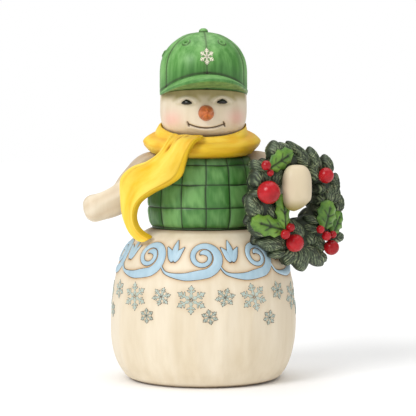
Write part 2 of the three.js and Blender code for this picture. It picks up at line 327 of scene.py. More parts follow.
def painted(
    name, coat, shade, light, streaks, roughness, wash_and_shade,
    layers=(), relief=0.00008, contrast=0.9, grain=False, shine=0.5,
):
    """Hand-painted resin: a brushed coat from shade to light, painted layers, and last a dark layer for the
    wash in the recesses and for painted shade.

    streaks are the brush marks' repeats per metre along X, Y and Z, or across, along and out of a piece with
    its own grain. They are a few times coarser than real brush hairs, so that they show in the render.
    """
    material = bpy.data.materials.new(name)
    material.use_nodes = True
    tree = material.node_tree
    tree.nodes.clear()
    place = add_node(tree, "ShaderNodeTexCoord").outputs["Object"]
    run = place
    if grain:
        marks = [add_node(tree, "ShaderNodeAttribute", {"attribute_name": n}).outputs["Fac"] for n in GRAIN]
        run = add_node(tree, "ShaderNodeCombineXYZ", {}, dict(enumerate(marks))).outputs[0]
    along = add_node(tree, "ShaderNodeMapping", {}, {"Vector": run, "Scale": streaks}).outputs[0]
    hairs = add_node(
        tree, "ShaderNodeTexNoise", {}, {"Vector": along, "Scale": 1.0, "Detail": 4.0, "Roughness": 0.6}
    )
    blots = add_node(tree, "ShaderNodeTexNoise", {}, {"Vector": place, "Scale": 70.0, "Detail": 3.0})
    spread = {"From Min": 0.5 - 0.25 / contrast, "From Max": 0.5 + 0.25 / contrast}
    hair_share = add_node(tree, "ShaderNodeMapRange", {}, {"Value": hairs.outputs[0], **spread}).outputs[0]
    blot_share = add_node(tree, "ShaderNodeMapRange", {}, {"Value": blots.outputs[0], **spread}).outputs[0]
    # The tone attribute moves the coat towards its shade or its light colour: random tone, and on some pieces
    # painted light and painted shade
    tone = add_node(tree, "ShaderNodeAttribute", {"attribute_name": "tone"}).outputs["Fac"]
    lift = add_node(
        tree, "ShaderNodeMath", {"operation": "MULTIPLY_ADD", "use_clamp": True},
        {0: tone, 1: 0.5, 2: hair_share},
    )
    base = mixed(tree, blot_share, linear(shade), tuple(coat))
    colour = mixed(tree, lift.outputs[0], mixed(tree, 0.5, base, linear(shade)), linear(light))
    colour = mixed(tree, 0.4, colour, tuple(coat))
    for layer, deep, pale in (*layers, ("wash_and_shade", wash_and_shade, wash_and_shade)):
        mask = add_node(tree, "ShaderNodeAttribute", {"attribute_name": layer}).outputs["Fac"]
        colour = mixed(tree, mask, colour, mixed(tree, hair_share, linear(deep), linear(pale)))
    gloss = add_node(tree, "ShaderNodeMapRange", {}, {"Value": blots.outputs[0]})
    gloss.inputs["To Min"].default_value = roughness - 0.06
    gloss.inputs["To Max"].default_value = roughness + 0.1
    bumps = add_node(
        tree, "ShaderNodeBump", {}, {"Height": hairs.outputs[0], "Distance": relief, "Strength": 0.6}
    )
    skin = add_node(
        tree, "ShaderNodeBsdfPrincipled", {}, {"Base Color": colour, "Roughness": gloss.outputs[0]}
    )
    skin.inputs["IOR"].default_value = 1.48
    skin.inputs["Specular IOR Level"].default_value = shine
    tree.links.new(bumps.outputs[0], skin.inputs["Normal"])
    add_node(tree, "ShaderNodeOutputMaterial", {}, {"Surface": skin.outputs[0]})
    return material


# The properties that a user would change


class SnowmanSizes(bpy.types.PropertyGroup):
    """Sizes of the carved detail"""

    scroll_count: bpy.props.IntProperty(
        name="Scrolls", description="Scrolls in the border round the snow body", default=9, min=4
    )
    flake_radius: bpy.props.FloatProperty(
        name="Snowflake radius", description="Radius of a large snowflake", default=0.0076, unit="LENGTH"
    )
    groove_depth: bpy.props.FloatProperty(
        name="Groove depth", description="Depth of the check's scored lines", default=0.0005, unit="LENGTH"
    )
    check_count: bpy.props.IntProperty(
        name="Checks", description="Columns of checks round the vest", default=14, min=6
    )
    seam_depth: bpy.props.FloatProperty(
        name="Seam depth", description="Depth of the cap's seams", default=0.0004, unit="LENGTH"
    )
    midrib_depth: bpy.props.FloatProperty(
        name="Midrib depth", description="Depth of the groove along a needle clump",
        default=0.0005, unit="LENGTH",
    )
    camera_distance: bpy.props.FloatProperty(
        name="Camera distance", description="From the figurine's axis to the camera",
        default=0.95, unit="LENGTH",
    )
    camera_height: bpy.props.FloatProperty(
        name="Camera height", description="Eye level above the table", default=0.152, unit="LENGTH"
    )


class SnowmanPaints(bpy.types.PropertyGroup):
    """Main coats of the pieces and colours of the stage"""

    snow: bpy.props.FloatVectorProperty(
        name="Snow", description="Main coat of the snow body, head and arms",
        subtype="COLOR", size=4, default=linear("#E3D4BA"),
    )
    vest: bpy.props.FloatVectorProperty(
        name="Vest", description="Main coat of the checked vest",
        subtype="COLOR", size=4, default=linear("#4C863A"),
    )
    cap: bpy.props.FloatVectorProperty(
        name="Cap", description="Main coat of the cap",
        subtype="COLOR", size=4, default=linear("#529639"),
    )
    scarf: bpy.props.FloatVectorProperty(
        name="Scarf", description="Main coat of the scarf",
        subtype="COLOR", size=4, default=linear("#F5CC2C"),
    )
    carrot: bpy.props.FloatVectorProperty(
        name="Nose", description="Main coat of the carrot nose",
        subtype="COLOR", size=4, default=linear("#C25F2C"),
    )
    pine: bpy.props.FloatVectorProperty(
        name="Greens", description="Main coat of the wreath's greens",
        subtype="COLOR", size=4, default=linear("#47593E"),
    )
    holly: bpy.props.FloatVectorProperty(
        name="Holly", description="Main coat of the holly leaves",
        subtype="COLOR", size=4, default=linear("#4F7D26"),
    )
    berry: bpy.props.FloatVectorProperty(
        name="Berries", description="Main coat of the berries",
        subtype="COLOR", size=4, default=linear("#AA0912"),
    )
    floor: bpy.props.FloatVectorProperty(
        name="Floor", description="Colour of the floor",
        subtype="COLOR", size=4, default=linear("#FFFFFF"),
    )
    backdrop: bpy.props.FloatVectorProperty(
        name="Backdrop", description="Light from all round",
        subtype="COLOR", size=4, default=linear("#FFFFFF"),
    )


def sizes():
    """The sizes set in the panel"""
    return bpy.context.scene.snowman_sizes


def paints():
    """The colours set in the panel"""
    return bpy.context.scene.snowman_paints


def snow_paint():
    """Cream acrylic over cast resin: satin, with broad pale strokes, a brown wash left in the recesses,
    painted shade under the cap, round the eyes and where pieces meet, and painted highlights on the lids
    """
    layers = (
        ("shade", "#897A40", "#A29253"), ("blush", "#EDAB9B", "#F4C0B2"), ("halo", "#A87838", "#BE9258"),
        ("blue", "#98B7C8", "#BAD2DE"), ("flake", "#A3B1A4", "#C3CFC6"), ("lid", "#EFE5D0", "#F6EEDD"),
        ("line", "#3A2612", "#55381C"),
    )
    known = bpy.data.materials.get("cream_acrylic_on_resin")
    return known or painted(
        "cream_acrylic_on_resin", paints().snow, "#D3C2A2", "#EEE3CE", (160, 160, 25), 0.45, "#7A5428", layers
    )


# Snow body


def snow_side():
    """The lower ball's side, from its flat underside's edge up to the vest, and the length run along it"""
    side = [
        (40.5, 0), (44.2, 1.7), (46.6, 4.8), (49.2, 9), (51.4, 15), (52.8, 22), (53.3, 29), (53.3, 38),
        (52.6, 46), (51, 56), (49, 65), (46.6, 71.5), (43.2, 77), (38.6, 81.5), (33.6, 84.6),
        (30.6, BODY_TOP),
    ]
    line = smooth_line(side, 400)
    run = np.r_[0, np.cumsum(np.linalg.norm(np.diff(line, axis=0), axis=1))]
    return line, run - np.interp(BORDER_FOOT, line[:, 1], run)


def planing(angle, height):
    """Shallow upright flats, as a knife would leave them, fading out under the border"""
    facets = (angle * 19 / math.tau + 0.22 * np.sin(3 * angle) + 0.3 * np.sin(height / 15)) % 1
    flats = -0.45 * (1 - (2 * facets - 1) ** 2) + 0.12 * np.sin(height / 6 + angle * 5)
    return flats * (1 - ease(height, 44, 58)) * ease(height, 1, 5)


def on_snow(flat, lift):
    """Flat places, across at the border's radius and up from the border's foot, laid on the snow body"""
    line, run = snow_side()
    radius, height = (np.interp(flat[:, 1], run, line[:, i]) for i in (0, 1))
    slope = np.gradient(line, axis=0)
    rise, out = (np.interp(flat[:, 1], run, slope[:, i]) for i in (0, 1))
    rise = -rise
    angle = flat[:, 0] / BORDER_RADIUS
    normal = np.stack([out * np.sin(angle), -out * np.cos(angle) / BODY_DEPTH, rise], 1)
    normal /= np.linalg.norm(normal, axis=1)[:, None]
    place = np.stack([radius * np.sin(angle), -radius * np.cos(angle) * BODY_DEPTH, height], 1)
    return place + normal * (lift + planing(angle, height))[:, None]


def scroll_strokes(width):
    """One unit of a running wave scroll, with a fan of three drops between its curls"""
    turns = np.radians(np.linspace(-78, 500, 60))
    radius = 9.6 - 7.4 * np.linspace(0, 1, 60) ** 0.85
    curl = np.stack([radius * np.cos(turns), radius * np.sin(turns)], 1)
    arm = np.array([(8.3 - width, -4.2), (12.5 - width, -9.6), (-11, -11.4), (-4, -10.6)])
    wave = smooth_line(np.vstack([arm, curl]), 160)
    share = np.linspace(0, 1, 160)
    body = 0.3 + 2.5 * ease(share, 0, 0.3) - 1.5 * ease(share, 0.42, 0.86) + 0.75 * bump(share, 0.965, 0.035)
    strokes = [(wave, body * (1 - share**40) ** 0.5, 0.75)]
    for lean, foot, tall in ((0, 1.0, 13.0), (-32, 0.0, 10.5), (32, 0.0, 10.5)):
        turn = math.radians(lean)
        rise = np.linspace(0, 1, 40)
        bend = 1.6 * math.sin(turn) * np.sin(math.pi * rise)
        x = -width / 2 - 0.4 + 1.6 * math.sin(turn) + tall * rise * math.sin(turn) * 0.8 - bend
        y = foot - 3.2 + tall * rise * math.cos(turn)
        half = 0.15 + 2.0 * np.sin(math.pi * rise**0.75) ** 0.8
        strokes.append((np.stack([x, y], 1), half, 0.65))
    return strokes


def flake_strokes(centre, radius, turn, plain):
    """A six-armed snowflake of bars, with a star of diamonds in it unless it is plain"""
    share = np.linspace(0, 1, 12)
    diamond = 1 - np.abs(2 * share - 1)
    rod = (1 - np.abs(2 * share - 1) ** 8) ** 0.5
    parts = [(0.08, 1.0, 0, 0, rod * 0.065)]
    barbs = ((0.52, 0.3), (0.74, 0.2))
    for start, length in barbs:
        parts += [(start, length, 60, start, rod * 0.055), (start, length, -60, start, rod * 0.055)]
    if not plain:
        parts += [(0.1, 0.5, 0, 0, diamond * 0.17), (0.7, 1.04, 0, 0, diamond * 0.13)]
    strokes = []
    for arm in range(6):
        for start, end, lean, hub, half in parts:
            heading = math.radians(arm * 60) + turn
            along = np.array([math.cos(heading), math.sin(heading)])
            aside = heading + math.radians(lean)
            leaning = np.array([math.cos(aside), math.sin(aside)])
            run = share * end if hub else start + (end - start) * share
            line = along * hub + leaning * run[:, None]
            strokes.append((np.array(centre) + line * radius, 0.05 + half * radius, 0.42))
    return strokes


class SNOWMAN_OT_snow_body(bpy.types.Operator):
    """Turns the snow body, planes it and lays the border and the snowflakes on it"""

    bl_idname = "snowman.snow_body"
    bl_label = "Snow Body"

    def execute(self, context):
        line, run = snow_side()
        steps = np.linspace(run[0], run[-1], 120)
        side = np.stack([np.interp(steps, run, line[:, i]) for i in (0, 1)], 1)
        profile = [np.zeros(2), *side, np.array([0, BODY_TOP])]
        piece = turned("snow_body_planed", profile, 380, BODY_DEPTH)
        places = points(piece)
        angle = np.arctan2(places[:, 0], -places[:, 1] / BODY_DEPTH)
        height = places[:, 2].copy()
        is_side = np.hypot(places[:, 0], places[:, 1] / BODY_DEPTH) > 30.5
        push(piece, planing(angle, height) * is_side)

        count = sizes().scroll_count
        width = math.tau * BORDER_RADIUS / count
        scrolls = scroll_strokes(width)
        level = 36.0
        border = [
            (middle + (unit * width, level), half, tall)
            for unit in range(count)
            for middle, half, tall in scrolls
        ]
        strokes = relief("scroll_border", border, 96, 8, 0.5, on_snow)
        set_paint(strokes, "blue", np.ones(len(strokes.data.vertices)))
        finished(strokes, snow_paint(), "snow_paint", "snow_body")

        radius = sizes().flake_radius / MM
        rows = ((0.0, 12.0, 1.0, False), (0.52, 14.5, 0.66, False), (0.28, 2.0, 0.54, True))
        flakes, spots = [], []
        for unit in range(count):
            for offset, up, share, plain in rows:
                sway = math.sin(unit * 2.4 + offset * 9)
                centre = ((unit + offset) * width - 6, up + 1.2 * sway)
                spots.append((*centre, radius * share))
                flakes += flake_strokes(centre, radius * share, 0.3 * sway + math.pi / 6, plain)
        snowflakes = relief("snowflakes", flakes, 9, 5, 0.24, on_snow)
        set_paint(snowflakes, "flake", np.ones(len(snowflakes.data.vertices)))
        finished(snowflakes, snow_paint(), "snow_paint", "snow_body")

        up = np.interp(height, line[:, 1], run)
        round_body = angle * BORDER_RADIUS
        across = (round_body + width / 2) % width - width / 2
        flat = np.stack([across, up - level], 1)
        gap = np.full(len(places), 50.0)
        near = is_side & (np.abs(flat[:, 1]) < 22)
        for middle, half, _ in scrolls:
            for shift in (-width, 0, width):
                found = stroke_gap(flat[near], middle + (shift, 0), half)
                gap[near] = np.minimum(gap[near], found)
        halo = 0.8 * np.exp(-np.clip(gap, 0, 50) / 0.9)
        girth = math.tau * BORDER_RADIUS
        for x, y, size in spots:
            away = np.hypot((round_body - x + girth / 2) % girth - girth / 2, up - y)
            halo = np.maximum(halo, 0.22 * (1 - ease(away, size * 0.6, size * 1.25)))
        set_paint(piece, "halo", halo * is_side)
        foot = 0.6 * (1 - ease(height, 0.2, 2.2))
        set_paint(piece, "wash_and_shade", foot + 0.55 * ease(height, BODY_TOP - 2, BODY_TOP))
        # Tone in broad random patches, and painted shade towards the right side
        tone = 0.5 * np.sin(angle * 9) * np.sin(height / 17) - 0.25 * ease(places[:, 0], 0, 50)
        set_paint(piece, "tone", tone)
        finished(piece, snow_paint(), "snow_paint", "snow_body")
        return {"FINISHED"}


# Vest


class SNOWMAN_OT_vest(bpy.types.Operator):
    """Turns the vest and scores its check"""

    bl_idname = "snowman.vest"
    bl_label = "Vest"

    def execute(self, context):
        side = [
            (29.6, VEST_FOOT), (31.2, 91), (32, 98), (31.7, 106), (31, 112), (29.8, 119), (28.3, 124),
            (27.4, 126.2), (25.4, VEST_TOP),
        ]
        profile = [np.array([0, VEST_FOOT]), *smooth_line(side, 90), np.array([0, VEST_TOP])]
        piece = turned("vest_checked", profile, 360, VEST_DEPTH)
        places = points(piece)
        angle = np.arctan2(places[:, 0], -places[:, 1] / VEST_DEPTH)
        count = sizes().check_count
        wobble = 0.18 * np.sin(angle * 7 + places[:, 2] / 5)
        column = (angle - math.radians(2.6)) * count / math.tau + 0.01 * np.sin(places[:, 2] / 4)
        to_column = np.abs(column - np.round(column)) * math.tau * 30 / count
        levels = np.array([87.2, 98.6, 111.6, 122.6])
        height = places[:, 2] + wobble
        to_row = np.abs(height[:, None] - levels).min(1)
        row = np.digitize(height, levels)
        gap = np.minimum(to_column, to_row)
        groove = 1 - ease(gap, 0.1, 0.55)
        pillow = ease(gap, 0.4, 2.6)
        push(piece, 0.3 * pillow - sizes().groove_depth / MM * groove - 0.2)
        tone = 0.95 * np.sin(4.08 * np.floor(column) + 0.94 * row + 2.83)
        tone += 0.2 * np.sin(angle * 40 + places[:, 2] * 0.6)
        # A painted highlight in the middle of each block, darker along its edges, and painted shade towards
        # the vest's right side
        shine = 0.7 * ease(gap, 2.0, 5.5) - 0.4 * (1 - ease(gap, 0.6, 2.2))
        set_paint(piece, "tone", tone + shine - 0.1 - 0.4 * ease(places[:, 0], 16, 30))
        # Painted shade just under the scarf and in the scarf tail's shadow on the left, and darker at the
        # vest's foot
        edge = 0.55 * ease(places[:, 2], 120, 128) + 0.7 * (1 - ease(places[:, 2], VEST_FOOT, 88.5))
        edge += 0.5 * bump(places[:, 0], -29, 5) * bump(places[:, 2], 107, 9)
        scored = np.clip(0.95 * (1 - ease(gap, 0.12, 0.45)) + 0.2 * np.exp(-gap / 1.2), 0, 1)
        set_paint(piece, "wash_and_shade", np.clip(np.maximum(scored, edge), 0, 1))
        # Green acrylic over resin: satin blocks of uneven green with painted highlights and painted shade,
        # and a dark wash in the scored lines
        paint = painted(
            "green_acrylic_on_resin", paints().vest, "#2F6428", "#84B66C", (300, 300, 60), 0.42, "#161D0C",
            contrast=1.0,
        )
        finished(piece, paint, "vest_paint", "vest")
        return {"FINISHED"}


# Head and face


class SNOWMAN_OT_head(bpy.types.Operator):
    """Turns the head and models its cheeks, lids and mouth"""

    bl_idname = "snowman.head"
    bl_label = "Head"

    def execute(self, context):
        side = [
            (17, VEST_TOP + 0.3), (17, 133), (17, 137.2), (19.6, 139.6), (22.4, 142.6), (24.1, 147),
            (HEAD_RADIUS, 152), (HEAD_RADIUS, 157), (24.6, CAP_SEAT),
        ]
        profile = [np.array([0, VEST_TOP + 0.3]), *smooth_line(side, 96), np.array([0, CAP_SEAT])]
        piece = turned("head_modelled", profile, 320, HEAD_DEPTH)
        places = points(piece)
        x, y, z = places.T
        places[:, 2] += 0.065 * y * (1 - np.clip((z - VEST_TOP - 0.3) / 8, 0, 1))
        places[:, 2] -= CAP_SLOPE * y * np.clip((z - 151) / (CAP_SEAT - 151), 0, 1)
        set_points(piece, places)
        x, y, z = places.T
        front = ease(-y, 3, 9)
        flat = np.stack([x, z], 1)
        cheeks = bump(x, -16.5, 6.5) * bump(z, 149, 6) + bump(x, 17.8, 6.5) * bump(z, 149.5, 6)
        lift = 0.9 * cheeks
        lids = np.zeros(len(places))
        sockets = np.zeros(len(places))
        for middle, level in EYES:
            arc = np.linspace(-1, 1, 40)
            lid = np.stack([middle + 4.9 * arc, level + 2.7 - 2.9 * arc**2], 1)
            gap = stroke_gap(flat, lid, 0.0)
            lids = np.maximum(lids, bump(gap, 0, 0.75))
            sockets = np.maximum(sockets, bump(x, middle, 4.2) * bump(z, level - 0.3, 1.6))
        lift += 0.5 * lids - 0.5 * sockets
        arc = np.linspace(-1, 1, 120)
        smile = np.stack([1.6 + 10.2 * arc, 143.3 + 2.5 * arc**2], 1)
        tick = np.linspace(-1, 1, 20)
        ticks = [np.stack([middle - 0.36 * tick, 145.6 + 1.15 * tick], 1) for middle in (-8.4, 11.6)]
        mouth = stroke_gap(flat, np.vstack([smile, *ticks]), 0.0)
        lift += 0.25 * bump(mouth, 1.1, 0.8) - 0.6 * bump(mouth, 0, 0.42)
        push(piece, lift * front)
        set_paint(piece, "line", (1 - ease(mouth, 0.22, 0.6)) * front)
        set_paint(piece, "halo", 0.45 * np.exp(-mouth / 0.9) * front)
        blush = bump(x, -17.2, 5.6) * bump(z, 148.2, 4.8) + bump(x, 18.4, 5.4) * bump(z, 149.2, 4.8)
        set_paint(piece, "blush", 0.66 * blush * front)
        arches = np.zeros(len(places))
        for middle, level in EYES:
            arc = np.linspace(-1.25, 1.25, 40)
            brow = np.stack([middle + 5.8 * arc, level + 5.0 - 2.6 * arc**2], 1)
            arches = np.maximum(arches, bump(stroke_gap(flat, brow, 0.0), 0, 1.1))
            below = np.stack([middle + 4.6 * arc, level - 1.9 + 0.8 * arc**2], 1)
            arches = np.maximum(arches, 0.5 * bump(stroke_gap(flat, below, 0.0), 0, 0.8))
        under_cap = ease(z - (CAP_SEAT - CAP_SLOPE * y), -6.5, -1)
        bridge = bump(x, 0.6, 5) * bump(z, 158, 4)
        shade = 0.95 * under_cap + 0.4 * arches + 0.5 * sockets + 0.3 * bridge
        set_paint(piece, "shade", np.clip(shade * (1 - 0.35 * lids) * front, 0, 0.9))
        # A painted highlight on the lids, and a paler lower face
        pale = 0.15 * lids + 0.4 * (1 - ease(z, 142, 154)) * (1 - blush)
        set_paint(piece, "lid", np.clip(pale, 0, 1) * front)
        # Lighter low on the face, and painted shade towards the right side
        set_paint(piece, "tone", 0.7 * (1 - ease(z, 141, 150)) - 0.3 * ease(x, 4, 22))
        # Painted shade on the neck under the scarf
        set_paint(piece, "wash_and_shade", 0.7 * (1 - ease(z, 138.2, 140.8)))
        finished(piece, snow_paint(), "snow_paint", "head")
        return {"FINISHED"}


class SNOWMAN_OT_face(bpy.types.Operator):
    """Sets the bead eyes and the carrot nose"""

    bl_idname = "snowman.face"
    bl_label = "Eyes and Nose"

    def execute(self, context):
        # Black enamel: hard, glossy beads that catch one small light each
        enamel = painted(
            "black_enamel", linear("#15120F"), "#0B0908", "#2A2724", (200, 200, 200), 0.14, "#000000",
            contrast=0.6,
        )
        for name, (across, level) in zip(("eye_right", "eye_left"), EYES):
            piece = ball(name + "_bead", 48, 28)
            places = points(piece)
            half = np.where(places[:, 2] > 0, 2.2 - 0.9 * np.abs(places[:, 0]), 0.75)
            places = np.stack([places[:, 0] * 3.2, places[:, 1] * 1.5, places[:, 2] * half - 0.5], 1)
            away = math.atan2(across, 24)
            depth = -math.sqrt(HEAD_RADIUS**2 - across**2) * HEAD_DEPTH + 0.35
            turn = np.array(Matrix.Rotation(away, 3, "Z"))
            set_points(piece, places @ turn.T + (across, depth, level))
            finished(piece, enamel, "bead_paint", name)
        carrot = [
            (0, 2.6), (3.9, 2.3), (4.4, 1.2), (4.3, -1), (3.7, -3.6), (2.8, -6), (1.7, -8), (0.8, -8.9),
            (0, -9.2),
        ]
        profile = smooth_line(carrot, 60)
        profile[:, 0] = np.clip(profile[:, 0], 0, None)
        piece = turned("nose_carved", list(profile), 72, 1.0)
        places = points(piece)
        angle = np.arctan2(places[:, 1], places[:, 0])
        rings = np.sin(places[:, 2] * 1.5 + 1.2 * np.sin(angle * 2) + 0.8 * np.sin(angle * 5))
        facets = np.abs(np.sin(angle * 2.5 + 0.15 * places[:, 2] + 0.6))
        push(piece, (0.05 * rings + 0.4 * facets - 0.3) * ease(-places[:, 2], -1, 1))
        places = points(piece)
        forward = np.stack([places[:, 0], places[:, 2], -places[:, 1]], 1)
        turn = np.array(Matrix.Rotation(CAP_TURN, 3, "Z"))
        set_points(piece, forward @ turn.T + (1.6, -23.4, 151.8))
        cut = 0.1 * ease(-rings, 0.3, 1) + 0.12 * (1 - ease(facets, 0.05, 0.3))
        pit = np.exp(-np.hypot(forward[:, 0] - 0.9, forward[:, 2] - 0.9) / 0.35)
        foot = 1 - ease(-places[:, 2], -1.2, 1)
        set_paint(piece, "wash_and_shade", np.clip(cut * ease(-places[:, 2], 0, 3) + 0.5 * foot + 0.7 * pit, 0, 1))
        # A painted highlight on the lower right of the nose, lighter facets, and darker towards its top
        glow = np.exp(-np.hypot(forward[:, 0] - 1.5, forward[:, 2] + 0.4) / 1.4)
        set_paint(piece, "tone", 0.9 * facets + 1.2 * glow - 0.4 - 0.8 * ease(forward[:, 2], 0, 4))
        # Orange acrylic over resin: whittled facets, lighter where they catch the light, brown in the cuts
        paint = painted(
            "orange_acrylic_on_resin", paints().carrot, "#93401C", "#DC8048", (300, 300, 300), 0.4, "#50240E",
            contrast=1.2,
        )
        finished(piece, paint, "carrot_paint", "nose")
        return {"FINISHED"}


# Cap


def cap_paint():
    """Green acrylic: upright brush streaks from deep to pale green, with a brown wash along the seams, dark
    green painted shade and olive painted shade under the visor
    """
    known = bpy.data.materials.get("brushed_green_acrylic")
    return known or painted(
        "brushed_green_acrylic", paints().cap, "#377529", "#8EC278", (300, 300, 24), 0.42, "#262A12",
        (("deep", "#2B5F20", "#478239"), ("under", "#487030", "#7CA252"), ("crest", "#E6E2C6", "#F2EED8")),
        contrast=1.5,
    )


def crown_side():
    """The crown's side, from its lower edge up to the button"""
    side = [
        (24.9, CAP_SEAT + 0.3), (24.95, 166), (24.9, 171), (24.8, 176.5), (24, 181.5), (22.2, 185.8),
        (19.4, 189.8), (15, 193.6), (9.6, 196.6), (4.6, 197.9), (0.02, CROWN_TOP),
    ]
    return smooth_line(side, 200)


def on_crown(flat, lift):
    """Flat places, across from the cap's middle and up to a height, laid on the crown's front"""
    line = crown_side()
    radius = np.interp(flat[:, 1], line[:, 1], line[:, 0]) - 0.3
    angle = flat[:, 0] / 24 + CAP_TURN
    slope = np.gradient(line, axis=0)
    rise, out = (np.interp(flat[:, 1], line[:, 1], slope[:, i]) for i in (0, 1))
    rise = -rise
    normal = np.stack([out * np.sin(angle), -out * np.cos(angle) / CAP_DEPTH, rise], 1)
    normal /= np.linalg.norm(normal, axis=1)[:, None]
    place = np.stack([radius * np.sin(angle), -radius * np.cos(angle) * CAP_DEPTH, flat[:, 1]], 1)
    return place + normal * lift[:, None]


class SNOWMAN_OT_cap(bpy.types.Operator):
    """Models the cap's crown, button and visor"""

    bl_idname = "snowman.cap"
    bl_label = "Cap"

    def execute(self, context):
        profile = [np.array([0, CAP_SEAT + 0.3]), *crown_side()[::2], np.array([0, CROWN_TOP])]
        piece = turned("cap_crown_stitched", profile, 380, CAP_DEPTH)
        places = points(piece)
        places[:, 2] -= CAP_SLOPE * places[:, 1] * (1 - np.clip((places[:, 2] - CAP_SEAT - 0.3) / 14, 0, 1))
        set_points(piece, places)
        x, y, z = places.T
        radius = np.hypot(x, y / CAP_DEPTH)
        angle = np.arctan2(x, -y / CAP_DEPTH) - CAP_TURN
        share = np.interp(np.degrees(angle), [-180, -122, -64, 64, 122, 180], [-3, -2, -1, 1, 2, 3])
        seam = np.abs(share - np.round(share)) * math.tau / 6 * radius
        on_top = ease(z, CAP_SEAT + 1, CAP_SEAT + 3)
        front_seam = 0.45 + 0.55 * ease(np.abs(angle), 0.3, 0.6)
        puff = 0.45 * ease(seam, 0.3, 7) * ease(radius, 2, 12)
        stitch = bump(seam, 1.5, 0.28) * (np.sin(z * 3.4) > 0.1)
        lift = puff - sizes().seam_depth / MM * bump(seam, 0, 0.38) * front_seam - 0.1 * stitch - 0.4
        holes, rims, edges = (np.zeros(len(places)) for _ in range(3))
        eyelets = [(turn, 17.9, 190.9) for turn in (-33.5, 33.5)]
        eyelets += [(turn, 22.4, 185.5) for turn in (-93, 106, 153, -153)]
        for turn, reach, level in eyelets:
            middle = math.radians(turn + 1.5)
            eyelet = (reach * math.sin(middle), -reach * CAP_DEPTH * math.cos(middle), level)
            away = np.linalg.norm(places - eyelet, axis=1)
            holes = np.maximum(holes, 1 - ease(away, 0.55, 1.0))
            rims = np.maximum(rims, bump(away, 1.6, 0.5))
            edges = np.maximum(edges, bump(away, 2.35, 0.3))
        lift += 0.8 * rims - 0.8 * holes
        over_seat = z - (CAP_SEAT - CAP_SLOPE * y)
        lift -= 0.12 * bump(over_seat, 3.4, 0.5)
        push(piece, lift * on_top)
        over_visor = z - (VISOR_SEAT + VISOR_RISE * np.clip(np.cos(angle), 0, 1) ** 1.6)
        in_front = ease(np.cos(angle), 0.0, 0.15)
        wash_and_shade = 0.95 * bump(seam, 0, 0.42) * front_seam + 0.2 * stitch + holes + 0.25 * bump(seam, 0, 1.6)
        wash_and_shade += 0.85 * edges + 0.4 * (1 - ease(over_seat, 0.3, 1.6))
        wash_and_shade += 0.75 * bump(over_visor, 0, 0.75) * in_front
        set_paint(piece, "wash_and_shade", np.clip(wash_and_shade * on_top, 0, 1))
        # Random tone round the crown, with painted light: darker towards the right, lighter at the top, on
        # the eyelet rims, on a patch of the left front panel and along the sides
        tone = 0.45 * np.sin(angle * 5 + 1.2) - 0.3 * ease(x, 4, 24) + 0.5 * rims + 0.55 * ease(z, 184, 196)
        tone += 0.9 * bump(x, -8, 4) * bump(z, 181, 6) + 0.8 * ease(np.abs(x), 22, 25)
        set_paint(piece, "tone", tone - 0.15)
        # Painted shade: dark green towards the crown's right side and just above the visor, fading out
        # towards the top
        deep = 0.5 * ease(x, 0, 12) * (1 - ease(x, 19, 24)) * (0.7 + 0.3 * np.sin(angle * 22))
        deep += 0.6 * (1 - ease(over_visor, 1, 10)) * in_front
        set_paint(piece, "deep", np.clip(deep * (1 - ease(z, 184, 192)), 0, 0.8))
        finished(piece, cap_paint(), "cap_paint", "cap_crown")
        flake = flake_strokes((0.0, 183.2), 4.6, math.pi / 6, True)
        crest = relief("cap_snowflake", flake, 9, 5, 0.24, on_crown)
        set_paint(crest, "crest", np.ones(len(crest.data.vertices)))
        set_paint(crest, "wash_and_shade", 0.6 * line_of(crest))
        finished(crest, cap_paint(), "cap_paint", "cap_crown")

        knob = [(0, 197.4), (2.4, 197.5), (2.6, 198.2), (2.3, 199.1), (1.4, 199.8), (0, HEIGHT)]
        profile = smooth_line(knob, 40)
        profile[:, 0] = np.clip(profile[:, 0], 0, None)
        button = turned("cap_button_covered", list(profile), 64, 1.0)
        places = points(button)
        away = np.hypot(places[:, 0], places[:, 1])
        push(button, -0.12 * bump(away, 1.9, 0.3))
        set_paint(button, "wash_and_shade", 0.7 * (1 - ease(places[:, 2], 197.8, 198.7)))
        finished(button, cap_paint(), "cap_paint", "cap_button")

        visor = ball("cap_brim_arched", 72, 120)
        places = points(visor)
        turn = np.arccos(np.clip(places[:, 2], -1, 1)) / math.pi
        across = (turn - 0.5) * math.radians(170)
        section = np.arctan2(places[:, 1], places[:, 0])
        out = 0.5 + 0.5 * np.cos(section)
        rise = np.sign(np.sin(section)) * np.abs(np.sin(section)) ** 0.45
        fade = np.clip(np.sin(math.pi * turn), 0, 1) ** 0.35
        arch = np.clip(np.cos(across), 0, 1)
        reach = 17 * arch**0.8
        raised = 0.4 + 0.7 * np.sin(across)
        top = VISOR_SEAT + VISOR_RISE * arch**1.6 - (0.6 + 2.7 * arch**1.6) * out + raised * out
        low = 160.8 + 3.7 * arch + (0.1 - 3.7 * arch + 7.0 * arch**1.5) * out + raised * out
        x = 24.6 * np.sin(across) * (1 + 0.02 * out)
        y = -23.2 * CAP_DEPTH * arch - (reach + 2) * out * fade + 4.5 * (1 - out) ** 3 * arch
        z = (top + low) / 2 + (top - low) / 2 * rise * fade
        turned_x = x * math.cos(CAP_TURN) - y * math.sin(CAP_TURN)
        turned_y = x * math.sin(CAP_TURN) + y * math.cos(CAP_TURN)
        set_points(visor, np.stack([turned_x, turned_y, z], 1))
        rows = bump(out, 0.8, 0.03) + bump(out, 0.62, 0.03)
        push(visor, -0.18 * rows * (rise > 0.5))
        # Painted shade on the visor's underside, in olive green
        set_paint(visor, "under", ease(-rise, 0.25, 0.75))
        joint = 0.8 * (1 - ease(out, 0.2, 0.3)) * (rise > 0)
        set_paint(visor, "wash_and_shade", np.clip(joint + 0.25 * rows * (rise > 0.5), 0, 1))
